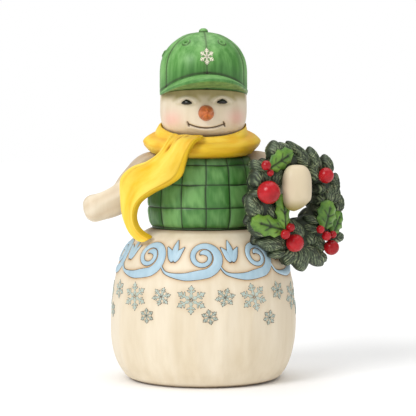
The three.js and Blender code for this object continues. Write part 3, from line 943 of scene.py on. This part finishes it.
        # A painted highlight along the top of the visor, and random tone across it
        set_paint(visor, "tone", 0.7 * bump(out, 0.7, 0.35) * (rise > 0.3) + 0.3 * np.sin(across * 9))
        # Painted shade along the visor's front edge
        set_paint(visor, "deep", 0.65 * ease(out, 0.93, 0.99) * (rise < 0.75))
        finished(visor, cap_paint(), "cap_paint", "cap_brim")
        return {"FINISHED"}


# Scarf


def scarf_paint():
    """Yellow acrylic, brushed along the scarf: pale ridges, orange pooled in the folds, a mustard edge and
    brown painted shade where the ring tucks in and on the tail's back
    """
    known = bpy.data.materials.get("yellow_acrylic_on_resin")
    return known or painted(
        "yellow_acrylic_on_resin", paints().scarf, "#E6AE22", "#FCE272", (260, 50, 50), 0.42, "#8A5A14",
        (("edge", "#BD9408", "#DDB816"), ("fold", "#E2951C", "#F0B435")), contrast=1.1, grain=True, shine=0.2,
    )


class SNOWMAN_OT_scarf(bpy.types.Operator):
    """Models the scarf's folded ring and its blown tail"""

    bl_idname = "snowman.scarf"
    bl_label = "Scarf"

    def execute(self, context):
        deselect()
        bpy.ops.mesh.primitive_torus_add(
            major_segments=280, minor_segments=80, major_radius=RING_RADIUS * MM, minor_radius=8 * MM
        )
        ring = named("scarf_wrap_folded")
        places = points(ring)
        around = np.arctan2(places[:, 0], -places[:, 1])
        away = np.hypot(places[:, 0], places[:, 1])
        section = np.arctan2(places[:, 2], away - RING_RADIUS)
        outline = [
            (18.6, -0.2), (19.4, -0.7), (22.6, -0.97), (27, -1), (31.2, -0.86), (33.6, -0.5), (33.9, -0.1),
            (32, 0.28), (29, 0.5), (28, 0.74), (25.6, 0.99), (22, 0.92), (19.2, 0.5), (18.6, -0.2),
        ]
        loop = smooth_line(outline, 400)
        radius, level = loop[((section + math.pi) / math.tau * 399).round().astype(int) % 400].T
        forward = np.cos(around)
        front = ease(forward, 0.1, 0.8)
        middle = 136.8 - np.where(forward > 0, 4.4, 3.0) * forward
        half = 8.2 - np.where(forward > 0, 2.2, 1.8) * forward
        height = middle + half * level
        jaw = np.interp(height + 1, [136, 139.6, 142.6, 147, 152], [17, 19.6, 22.4, 24.1, 24.7]) + 0.9
        radius = np.maximum(radius, jaw)
        outside = ease(radius, 24, 29)
        swirl = np.sin(around * 5 + level * 2.4) + 0.6 * np.sin(around * 11 - level * 3)
        crease = bump(level, 0.42, 0.13) * (1 - 0.75 * front)
        radius = radius + outside * (0.3 * swirl - 0.9 * crease)
        degrees = np.degrees(around)
        side_lobe = bump(degrees, 88, 20) + bump(degrees, -82, 18)
        radius = radius + outside * 0.9 * side_lobe * bump(level, -0.15, 0.4)
        pinch = bump(degrees, -50, 7) * outside
        radius = radius - 1.2 * pinch - 2.2 * bump(degrees, 88, 26) * outside
        pointed = bump(degrees, 84, 26) + 0.7 * bump(degrees, -86, 24)
        radius = radius - 2.6 * pointed * outside * np.clip(np.abs(level + 0.1) - 0.1, 0, 1)
        depth = np.where(radius < 26, 0.95, 0.92)
        set_points(ring, np.stack([radius * np.sin(around), -radius * np.cos(around) * depth, height], 1))
        fold = 0.3 * ease(-swirl, 0.3, 1.5) * outside + 0.6 * crease * outside + 0.5 * pinch
        fold += 0.35 * bump(level, -0.35, 0.3) * bump(degrees, 30, 30) * outside
        set_paint(ring, "fold", np.clip(fold, 0, 0.9))
        # Painted shade where the ring tucks in against the neck and along its lower edge
        under = 0.7 * (1 - ease(radius, 21, 24.5)) + 0.7 * bump(level, -1.0, 0.16)
        set_paint(ring, "wash_and_shade", np.clip(under, 0, 1))
        set_paint(ring, "tone", 0.4 * swirl * outside)
        golden = ease(degrees, -25, 10) * ease(-degrees, -130, -80) * ease(-level, -0.9, 0.6)
        set_paint(ring, "edge", 0.95 * golden * outside)
        for name, values in zip(GRAIN, (level * 7, around * 30, np.zeros_like(level))):
            set_paint(ring, name, values * MM)
        finished(ring, scarf_paint(), "scarf_paint", "scarf_wrap")

        low_edge = [
            (-17.5, -20.5, 141.3), (-18.8, -24.5, 139), (-20.5, -28.5, 134.5), (-24.5, -31, 129),
            (-31.5, -31.5, 125), (-40, -28, 121.8), (-45.2, -24.5, 116), (-45.6, -23, 109),
            (-44.6, -22.5, 101.5), (-43, -22, 94), (-40.8, -22, 87.8), (-37.5, -23, 83), (-33.5, -25, 80.4),
        ]
        high_edge = [
            (0.5, -25, 140), (-1.2, -29.5, 138.4), (-4.5, -33.2, 135), (-7.5, -34.8, 130), (-9.5, -34.8, 124),
            (-12, -34.2, 116.8), (-18, -33.4, 112.2), (-27, -32.4, 107.6), (-34.3, -31.5, 102),
            (-36.9, -30.5, 95), (-35.9, -29, 89), (-33, -28.2, 85.2), (-28, -28.2, 82.2),
        ]
        count = 240
        pairs = smooth_line(np.hstack([low_edge, high_edge]), count)
        low, high = pairs[:, :3], pairs[:, 3:]
        tail = ball("scarf_tail_blown", 96, 200)
        places = points(tail)
        along = np.arccos(np.clip(places[:, 2], -1, 1)) / math.pi
        section = np.arctan2(places[:, 1], places[:, 0])
        across = np.cos(section)
        rise = np.sign(np.sin(section)) * np.abs(np.sin(section)) ** 0.3
        spot = along * (count - 1)
        middle = (low + high) / 2
        lower, upper, heading = (
            np.stack([np.interp(spot, np.arange(count), line[:, i]) for i in range(3)], 1)
            for line in (low, high, np.gradient(middle, axis=0))
        )
        face = np.cross(heading, upper - lower)
        face /= np.linalg.norm(face, axis=1)[:, None]
        fullness = (1 - np.clip(1 - np.minimum(along, 1 - along) * 45, 0, 1) ** 2) ** 0.5
        crown = 1.8 * (1 - across**2)
        over_ring = 1 - ease(along, 0.12, 0.3)
        ridges = np.sin(across * 5.5 + 1.2 + along * 3) * (0.7 * over_ring + 0.3)
        drape = 0.9 * np.sin(across * 3.6 + along * 7) * ease(along, 0.2, 0.4)
        tucks = bump(across, 0.22, 0.09) * bump(along, 0.09, 0.04)
        tucks += bump(across, 0.55, 0.08) * bump(along, 0.17, 0.035)
        tucks += 0.8 * bump(across, -0.1, 0.07) * bump(along, 0.05, 0.03)
        settled = 0.2 + 0.8 * ease(along, 0.02, 0.18)
        thick = (crown + 0.8 * ridges + drape - 1.4 * tucks) * settled
        thick += (0.5 + 1.1 * settled) * rise * fullness
        blend = (1 - across * (0.55 + 0.45 * fullness)) / 2
        lip = 0.7 * ease(np.abs(across), 0.78, 0.88) * (rise > 0)
        place = lower + (upper - lower) * blend[:, None] + face * (thick + lip)[:, None]
        place[:, 2] -= 1.6 * (1 - ease(along, 0.02, 0.14))
        set_points(tail, place)
        band = ease(-across, 0.68, 0.78) + ease(-rise, 0.2, 0.6)
        set_paint(tail, "edge", np.clip(band, 0, 1) * 0.85)
        patches = 0.3 + 0.7 * ease(np.sin(along * 21 + across * 2.5), -0.2, 0.9)
        creases = (0.6 * ease(-ridges, 0.2, 0.9) + 0.6 * ease(-drape, 0.3, 0.9)) * patches
        set_paint(tail, "fold", np.clip((0.6 * creases + tucks) * (rise > 0), 0, 0.9))
        set_paint(tail, "tone", 0.5 * (ridges + drape) + 0.25)
        # A dark line along the seam, dark in the tucks, and painted shade on the tail's back face
        seam = 0.25 * bump(across, -0.74, 0.03) * (rise > 0)
        set_paint(tail, "wash_and_shade", seam + 0.5 * tucks * (rise > 0) + 0.35 * ease(-rise, 0.7, 1))
        for name, values in zip(GRAIN, (across * 9, along * 90, np.zeros_like(along))):
            set_paint(tail, name, values * MM)
        finished(tail, scarf_paint(), "scarf_paint", "scarf_tail")
        return {"FINISHED"}


# Arms


def limb(name, stations):
    """A round-ended limb along a smooth line, with its own width, height and squareness at each station"""
    count = 200
    line = smooth_line([s[:3] for s in stations], count)
    piece = ball(name, 72, 110)
    places = points(piece)
    along = 1 - np.arccos(np.clip(places[:, 2], -1, 1)) / math.pi
    knots = np.array([s[:3] for s in stations], float)
    travelled = np.r_[0, np.cumsum(np.linalg.norm(np.diff(knots, axis=0), axis=1))]
    share = travelled / travelled[-1]
    wide, tall, power = (np.interp(along, share, [s[i] for s in stations]) for i in (3, 4, 5))
    spot = along * (count - 1)
    centre, heading = (
        np.stack([np.interp(spot, np.arange(count), way[:, i]) for i in range(3)], 1)
        for way in (line, np.gradient(line, axis=0))
    )
    heading /= np.linalg.norm(heading, axis=1)[:, None]
    side = np.cross((0, 0, 1), heading)
    side /= np.linalg.norm(side, axis=1)[:, None]
    top = np.cross(heading, side)
    from_end = np.minimum(along, 1 - along) * travelled[-1]
    rounding = np.clip(from_end / wide, 0, 1)
    fullness = (1 - (1 - rounding) ** 2.4) ** (1 / 2.4)
    around = np.arctan2(places[:, 1], places[:, 0])
    c, s = superellipse(around, power)
    set_points(piece, centre + side * (c * wide * fullness)[:, None] + top * (s * tall * fullness)[:, None])
    return piece, along, around


class SNOWMAN_OT_arms(bpy.types.Operator):
    """Models both arms"""

    bl_idname = "snowman.arms"
    bl_label = "Arms"

    def execute(self, context):
        right = [
            (-20, 0, 122, 8, 8, 2.3), (-31, -2, 121, 8.2, 8.2, 2.3), (-39, -4, 112.5, 8.6, 8.8, 2.3),
            (-45, -6, 105, 8.6, 8.8, 2.3), (-54, -8, 100, 7.9, 8.3, 2.3), (-68, -10, 96.4, 7.2, 7.8, 2.3),
        ]
        left = [
            (20, 0, 122, 8.4, 8.4, 2.3), (32, 1, 121.5, 8.6, 8.6, 2.3), (42, -2, 117, 8.6, 8.8, 2.4),
            (49, -12, 111.5, 8.2, 9, 2.6), (51.5, -25, 110, 8, 11, 2.8), (51.5, -42, 110.9, 8.4, 14.2, 3.0),
        ]
        for name, stations in (("arm_right", right), ("arm_left", left)):
            piece, along, around = limb(name + "_planed", stations)
            planes = np.abs(((around / math.tau * 6 + 0.25 * np.sin(along * 7)) % 1) * 2 - 1)
            wrist = 1 - ease(along, 0.5, 0.75) * (name == "arm_left")
            push(piece, (0.7 * planes**1.5 - 0.5) * wrist * (1 - ease(along, 0.8, 0.95)))
            places = points(piece)
            hand = ease(along, 0.6, 0.8) * (name == "arm_left")
            places[:, 2] += 0.45 * hand * np.clip(places[:, 0] - 50.5, 0, 9) * ease(-places[:, 2], -106, -97)
            set_points(piece, places)
            # Painted shade near the shoulder, where the arm meets the body
            set_paint(piece, "wash_and_shade", 0.35 * (1 - ease(along, 0.3, 0.55)))
            # Ochre in the hollows between the planes, and painted shade on the arm's underside
            below = ease(-np.sin(around), 0.3, 1.0)
            ochre_and_shade = 0.3 * below * (1 - ease(along, 0.6, 1)) * wrist + 0.22 * (1 - planes) * wrist
            set_paint(piece, "halo", np.clip(ochre_and_shade, 0, 1))
            set_paint(piece, "shade", 0.14 * hand + 0.9 * hand * ease(-places[:, 2], -106, -98))
            # Lighter with the carved planes, and painted shade over the hand
            set_paint(piece, "tone", 0.5 * planes * wrist - 0.2 - 0.9 * hand)
            finished(piece, snow_paint(), "snow_paint", name)
        return {"FINISHED"}


# Wreath


def onto_wreath(places):
    """Places in the wreath's plane, across, up and out of its face, as places on the figurine"""
    across = np.array([math.cos(WREATH_TURN), math.sin(WREATH_TURN), 0])
    out = np.array([math.sin(WREATH_TURN), -math.cos(WREATH_TURN), 0])
    up = np.array([0, 0, 1])
    return np.array(WREATH_CENTRE) + places @ np.stack([across, up, out])


# Needle clumps, each from its root to its tip in the wreath's plane, then its width
CLUMPS = (
    (-10.5, 27, -12, 35.7, 8.9), (-1.4, 29, -7.5, 34.9, 5.6), (13.1, 23.6, -1.4, 35.6, 6.6),
    (12.4, 22.5, 1.6, 28.9, 5.8), (20.2, 17.3, 15.4, 32.1, 7.6), (28.8, 17, 27.2, 27.6, 7),
    (19.4, 13.9, 13.9, 23.1, 6), (30.5, 2.2, 36, 16.9, 6.6), (27.3, 0.6, 29.6, 11.4, 7.9),
    (31.3, 0.5, 36.8, 9.4, 6), (35, -5, 39, 4.8, 7.1), (-20.8, 19.4, -27.5, 25.5, 6),
    (-24.5, 11.2, -25.3, 21.6, 6), (-20.1, 13, -20.8, 21.6, 7), (-13.4, 11.4, -6.7, 20.1, 8.3),
    (-20.8, 9, -28.9, 6.4, 5.4), (-23.7, -5, -30, 5.9, 8.1), (-14.8, -7, -17.1, 1.6, 7.2),
    (-20.8, -15.4, -28.9, -8.4, 6.6), (-4.3, -21.2, -23, -19.7, 8.6), (-5.8, -25, -14.8, -27.3, 5.4),
    (-0.5, -23.5, -2, -32.5, 9.2), (5.7, -24, 10.3, -36.1, 11.6), (11, -23.7, 25.2, -34.2, 9.5),
    (18.8, -27.5, 27.5, -32.2, 6.5), (24.3, -26.1, 18, -18, 8.1), (14.9, -22.8, 14.1, -14.2, 6.9),
    (7.4, -18.3, -0.4, -8.6, 8.4), (18.8, -15, 11, -11.8, 5.6), (20.3, -10, 11.7, -6.8, 5.2),
    (32, -19.5, 41, -19, 6.5), (21.5, 6.5, 23.3, 12.2, 5.2), (21, 0.2, 22.5, 5.4, 4.8),
    (20.6, -6.6, 21.2, -1, 5),
)


class SNOWMAN_OT_greens(bpy.types.Operator):
    """Models the wreath's ring of needle clumps"""

    bl_idname = "snowman.greens"
    bl_label = "Wreath Greens"

    def execute(self, context):
        deselect()
        bpy.ops.mesh.primitive_torus_add(
            major_segments=144, minor_segments=40, major_radius=2 * MM, minor_radius=1 * MM
        )
        core = named("wreath_core")
        places = points(core)
        angle = np.arctan2(places[:, 1], places[:, 0])
        ring = np.arctan2(places[:, 2], np.hypot(places[:, 0], places[:, 1]) - 2)
        heading = np.stack([np.cos(angle), np.sin(angle)], 1)
        offset = np.array(HOLE_CENTRE) - np.array(OUTLINE_CENTRE)
        lean = heading @ offset
        outer = -lean + np.sqrt(lean**2 - offset @ offset + (WREATH_RADIUS - 2) ** 2)
        radius = (outer + HOLE_RADIUS + 0.5) / 2 + (outer - HOLE_RADIUS - 0.5) / 2 * np.cos(ring)
        flat = np.array(HOLE_CENTRE) + heading * radius[:, None]
        lumps = 0.6 * np.sin(angle * 23 + ring * 3) * np.sin(ring * 5)
        set_points(core, onto_wreath(np.column_stack([flat, (6.4 + lumps) * np.sin(ring)])))
        # Painted shade: the core under the clumps is dark throughout
        set_paint(core, "wash_and_shade", np.full(len(places), 0.72))
        set_paint(core, "tone", np.full(len(places), -0.8))
        for name, values in zip(GRAIN, (ring * 6, angle * 30, np.zeros_like(angle))):
            set_paint(core, name, values * MM)

        # Each lobe is a clump, its level out of the wreath's plane and its half thickness
        layers = [(row, 3.4, 5.6) for row in CLUMPS]
        for i in range(16):
            turn = math.tau * i / 16 + 0.1
            root = np.array(HOLE_CENTRE) * 0.6 + 21 * np.array([math.cos(turn), math.sin(turn)])
            tip = np.array(OUTLINE_CENTRE) + 32.5 * np.array([math.cos(turn - 0.25), math.sin(turn - 0.25)])
            layers.append(((*root, *tip, 9.5), -3.0, 4.6))
        layers.append(((26, -11, 36, -18.5, 9), -1.0, 4.6))
        for i in range(12):
            turn = math.tau * i / 12
            start = np.array(HOLE_CENTRE) + 19 * np.array([math.cos(turn), math.sin(turn)])
            end = np.array(HOLE_CENTRE) + 18.2 * np.array([math.cos(turn + 0.5), math.sin(turn + 0.5)])
            layers.append(((*start, *end, 6.6), -2.0, 4.8))
        lobes = copies(ball("wreath_lobes", 44, 30), len(layers))
        unit = points(lobes)
        each = len(unit) // len(layers)
        x, out, y = unit[:each].T
        along = np.arcsin(np.clip(y, -1, 1)) / (math.pi / 2)
        depth = sizes().midrib_depth / MM
        slant = math.radians(24)
        shaped, grain, washes, ridges, tones = [], [], [], [], []
        for number, ((root_x, root_y, tip_x, tip_y, width), level, thick) in enumerate(layers):
            length = math.hypot(tip_x - root_x, tip_y - root_y) + width / 4
            taper = 1 - 0.22 * y - 0.1 * y**2
            wave = 1 + 0.05 * np.sin(9 * along + number) * (np.abs(x) > 0.3)
            clump = np.stack([x * width * taper * wave / 2 * 1.08, y * length / 2, out * thick * taper], 1)
            wide, tall = np.abs(x) * width / 2, y * length / 2
            beside = wide * math.cos(slant) - tall * math.sin(slant)
            beyond = wide * math.sin(slant) + tall * math.cos(slant)
            uneven = 0.9 * np.sin(beyond * 0.9 + number) + 0.7 * np.sin(beside * 1.7 + beyond * 2.3)
            needle = np.sin(beside * math.tau / NEEDLE + uneven + np.sign(x)) * ease(np.abs(out), 0.1, 0.5)
            clump[:, 2] += np.sign(out) * 0.16 * needle
            clump[:, 2] -= np.sign(out) * depth * bump(x, 0, 0.12) * ease(np.abs(out), 0.3, 0.7)
            turn = math.atan2(tip_y - root_y, tip_x - root_x) - math.pi / 2
            spin = np.array(Matrix.Rotation(turn, 3, "Z"))
            clump = clump @ spin.T + ((root_x + tip_x) / 2, (root_y + tip_y) / 2, level)
            shaped.append(onto_wreath(clump))
            grain.append(np.column_stack([beside, beyond, np.sign(x) * 3 + number * 7.3]))
            edge = ease(1 - np.abs(out), 0.5, 0.95)
            scored = 0.95 * ease(-needle, 0, 0.6) + 0.7 * bump(x, 0, 0.1) * ease(np.abs(out), 0.4, 0.8)
            # A dark wash in the needle grooves and midrib, and painted shade at each clump's rim and on the
            # clumps behind
            washes.append(np.clip(scored + 0.8 * edge + 0.3 * (level < 0), 0, 0.92))
            catch = 0.55 + 0.45 * np.sin(beyond * 1.3 + number * 3.7)
            ridges.append(ease(needle, 0.3, 0.9) * catch * (1 - 0.6 * edge))
            tones.append(0.35 * math.sin(number * 2.4) + 0.25 * y - 0.15)
        set_points(lobes, np.vstack(shaped))
        set_paint(lobes, "wash_and_shade", np.concatenate(washes))
        set_paint(lobes, "ridge", np.concatenate(ridges))
        set_paint(lobes, "tone", np.concatenate(tones))
        for name, values in zip(GRAIN, np.vstack(grain).T):
            set_paint(lobes, name, values * MM)
        piece = joined("wreath_greens_scored", [core, lobes])
        # Grey-green acrylic over resin: near black between the needles, dry-brushed pale along their ridges,
        # with painted shade in the core, at the clumps' rims and on the clumps behind
        paint = painted(
            "pine_acrylic_on_resin", paints().pine, "#2B3826", "#7F9070", (900, 180, 300), 0.5, "#10170E",
            (("ridge", "#7F9068", "#C0C898"),), relief=0.0004, contrast=2.2, grain=True,
        )
        finished(piece, paint, "pine_paint", "wreath_greens")
        return {"FINISHED"}


class SNOWMAN_OT_holly(bpy.types.Operator):
    """Models the holly leaves and the berries on the wreath"""

    bl_idname = "snowman.holly"
    bl_label = "Holly and Berries"

    def execute(self, context):
        # A leaf is its root and tip in the wreath's plane, both ends' places out of it and its half width
        leaves = (
            (-20.5, 22, -3.2, 30.2, 11, 10, 6.2), (-9.9, -12, -11.6, 7.2, 11.5, 10.5, 5.6),
            (-10.5, -13, -32.4, -7, 11.5, 9, 6.2), (20.6, -13.2, 26.4, 2, 11, 10, 8.2),
            (28, -16.2, 37.2, -4.6, 10, 7, 6.2),
        )
        # A berry is its place across, up and out of the wreath, and its radius
        berries = (
            (-25.4, 23.3, 12.5, 2.7), (-22.6, 19.2, 12.8, 1.9), (-23.5, 8.5, 12.5, 6.4),
            (21.7, 16.6, 10.5, 4.5), (-7.7, -11.4, 13, 2.5), (-12.5, -14.9, 14, 2.7), (-3.4, -20.2, 12, 5),
            (14.7, -13.4, 13.5, 2.3), (19.9, -17.4, 13, 2.7), (25.3, -16.8, 12.6, 2.2),
            (25.8, -24.3, 11, 4.4),
        )

        # Leaf-green acrylic over resin: satin, with a painted highlight on the swelling halves, painted shade
        # on the backs and dark lines in the veins
        holly = painted(
            "holly_acrylic_on_resin", paints().holly, "#345D1C", "#82AC40", (300, 300, 300), 0.38, "#18210C",
            contrast=1.3,
        )
        for number, (root_x, root_y, tip_x, tip_y, root_out, tip_out, half) in enumerate(leaves):
            piece = ball(f"holly_leaf_{number + 1}_veined", 64, 88)
            unit = points(piece)
            along = 1 - np.arccos(np.clip(unit[:, 2], -1, 1)) / math.pi
            around = np.arctan2(unit[:, 1], unit[:, 0])
            c = np.cos(around)
            s = np.sign(np.sin(around)) * np.abs(np.sin(around)) ** 0.5
            length = math.hypot(tip_x - root_x, tip_y - root_y)
            spikes = 0.8 + 0.2 * (1 - np.abs(np.sin(math.pi * (along - 0.22) / 0.3))) ** 0.8
            width = half * np.sin(math.pi * np.clip(0.04 + 0.93 * along, 0, 1)) ** 0.45 * spikes
            x = c * width
            y = (along - 0.5) * length
            vein = bump(x, 0, 0.6) * (1 - ease(along, 0.72, 0.86))
            branch = (along * 3.3 - np.abs(x) / half * 1.1 + 0.1) % 1
            branch = bump(branch, 0.5, 0.12) * ease(np.abs(c), 0.02, 0.1) * (1 - ease(np.abs(c), 0.5, 0.72))
            branch = branch * ease(along, 0.16, 0.24) * (1 - ease(along, 0.7, 0.8))
            lip = 0.9 * np.sin(np.abs(c) * math.pi)
            out = root_out + (tip_out - root_out) * along - 1.3 * np.abs(c) ** 1.5 + 0.6 * lip
            thick = np.clip(np.sin(math.pi * along), 0, 1) ** 0.4
            out = out + s * 0.8 * thick - (0.55 * vein + 0.35 * branch) * (s > 0)
            turn = math.atan2(tip_y - root_y, tip_x - root_x) - math.pi / 2
            spin = np.array(Matrix.Rotation(turn, 3, "Z"))
            leaf = np.stack([x, y, out], 1) @ spin.T + ((root_x + tip_x) / 2, (root_y + tip_y) / 2, 0)
            set_points(piece, onto_wreath(leaf))
            # Dark lines in the veins, and painted shade on the leaf's back
            grooves = (0.95 * vein + 0.85 * branch) * (s > 0) + 0.5 * ease(-s, -0.5, 0.3)
            set_paint(piece, "wash_and_shade", np.clip(grooves, 0, 1))
            # A painted highlight on the swelling halves, random tone along the leaf, and a tone of its own
            # for each leaf
            facet = 0.9 * np.sin(np.abs(c) * math.pi) + 0.5 * np.sin(c * 2 + along * 6 + number)
            set_paint(piece, "tone", facet - 0.6 + 0.6 * math.sin(number * 1.25))
            finished(piece, holly, "holly_paint", f"holly_leaf_{number + 1}")
        # Red enamel: smooth and glossy, deeper red towards the shaded side
        enamel = painted(
            "red_enamel", paints().berry, "#6E060E", "#CC2630", (150, 150, 150), 0.22, "#3C060A",
            contrast=1.2, relief=0.00002, shine=0.36,
        )
        for number, (across, up, out, radius) in enumerate(berries):
            piece = ball(f"berry_{number + 1}_glazed", 40, 28)
            unit = points(piece)
            lumps = 1 + 0.02 * np.sin(unit[:, 0] * 3 + number) * np.sin(unit[:, 2] * 4)
            set_points(piece, onto_wreath(unit * lumps[:, None] * radius + (across, up, out)))
            # Painted shade on the back of each berry, where it sits in the greens, and on its lower right
            set_paint(piece, "wash_and_shade", 0.8 * (1 - ease(unit[:, 2], -0.9, -0.2)))
            set_paint(piece, "tone", -0.9 * ease(unit[:, 0] - unit[:, 1], 0.2, 1.3))
            finished(piece, enamel, "berry_paint", f"berry_{number + 1}")
        return {"FINISHED"}


# Stage


class SNOWMAN_OT_stage(bpy.types.Operator):
    """Lays the floor, hangs the lights and aims the camera"""

    bl_idname = "snowman.stage"
    bl_label = "Stage"

    def execute(self, context):
        scene = context.scene
        deselect()
        bpy.ops.mesh.primitive_plane_add(size=8, location=(0, 0, -0.0003))
        floor = named("floor")
        bpy.ops.object.transform_apply(location=True)

        # A matt white sheet: it vanishes into the white background and shows only the figurine's soft shadow
        sheet = bpy.data.materials.new("pale_floor")
        sheet.use_nodes = True
        skin = sheet.node_tree.nodes["Principled BSDF"]
        skin.inputs["Base Color"].default_value = scene.snowman_paints.floor
        skin.inputs["Roughness"].default_value = 0.9
        floor.data.materials.append(sheet)

        # Soft lights far off, from the upper left, the right and above, given as where they shine from
        lights = (
            ("key", (-0.7, -0.8, 0.75), 28, 1.6), ("fill", (0.9, -0.8, 0.3), 60, 0.35),
            ("overhead", (0.05, 0.1, 1.0), 60, 1.1),
        )
        for name, source, spread, power in lights:
            deselect()
            bpy.ops.object.light_add(type="SUN", location=source)
            lamp = context.object
            lamp.name = name
            lamp.data.angle = math.radians(spread)
            lamp.data.energy = power
            lamp.rotation_euler = Vector(source).to_track_quat("Z", "Y").to_euler()
        world = bpy.data.worlds.new("studio")
        world.use_nodes = True
        tree = world.node_tree
        tree.nodes.clear()
        seen = add_node(tree, "ShaderNodeLightPath").outputs["Is Camera Ray"]
        glow = add_node(tree, "ShaderNodeMapRange", {}, {"Value": seen, "To Min": 0.47, "To Max": 1.0})
        backdrop = scene.snowman_paints.backdrop
        sky = add_node(tree, "ShaderNodeBackground", {}, {"Color": backdrop, "Strength": glow.outputs[0]})
        add_node(tree, "ShaderNodeOutputWorld", {}, {"Surface": sky.outputs[0]})
        scene.world = world
        scene.view_settings.view_transform = "Standard"

        aim = Vector(AIM)
        bpy.ops.object.camera_add(location=(aim.x, -sizes().camera_distance, sizes().camera_height))
        camera = context.object
        camera.rotation_euler = (aim - camera.location).to_track_quat("-Z", "Y").to_euler()
        camera.data.sensor_width = 36
        camera.data.lens = LENS
        camera.data.clip_start = 0.05
        scene.camera = camera
        return {"FINISHED"}


class SNOWMAN_PT_panel(bpy.types.Panel):
    """Lists the figurine's pieces and its sizes and colours"""

    bl_idname = "SNOWMAN_PT_panel"
    bl_label = "Snowman Figurine"
    bl_space_type = "VIEW_3D"
    bl_region_type = "UI"
    bl_category = "Snowman"

    def draw(self, context):
        for group in (context.scene.snowman_sizes, context.scene.snowman_paints):
            for name in group.__annotations__:
                self.layout.prop(group, name)
        for operator in OPERATORS:
            self.layout.operator(operator.bl_idname)


OPERATORS = (
    SNOWMAN_OT_stage, SNOWMAN_OT_snow_body, SNOWMAN_OT_vest, SNOWMAN_OT_head, SNOWMAN_OT_face, SNOWMAN_OT_cap,
    SNOWMAN_OT_scarf, SNOWMAN_OT_arms, SNOWMAN_OT_greens, SNOWMAN_OT_holly,
)
CLASSES = (SnowmanSizes, SnowmanPaints, *OPERATORS, SNOWMAN_PT_panel)


def register():
    """Makes the classes and the properties known to Blender"""
    for kind in CLASSES:
        bpy.utils.register_class(kind)
    bpy.types.Scene.snowman_sizes = bpy.props.PointerProperty(type=SnowmanSizes)
    bpy.types.Scene.snowman_paints = bpy.props.PointerProperty(type=SnowmanPaints)


def unregister():
    """Takes the properties and the classes out again"""
    del bpy.types.Scene.snowman_paints
    del bpy.types.Scene.snowman_sizes
    for kind in reversed(CLASSES):
        bpy.utils.unregister_class(kind)


def main():
    """Builds the stage and every piece"""
    register()
    bpy.ops.snowman.stage()
    bpy.ops.snowman.snow_body()
    bpy.ops.snowman.vest()
    bpy.ops.snowman.head()
    bpy.ops.snowman.face()
    bpy.ops.snowman.cap()
    bpy.ops.snowman.scarf()
    bpy.ops.snowman.arms()
    bpy.ops.snowman.greens()
    bpy.ops.snowman.holly()


if __name__ == "__main__":
    main()
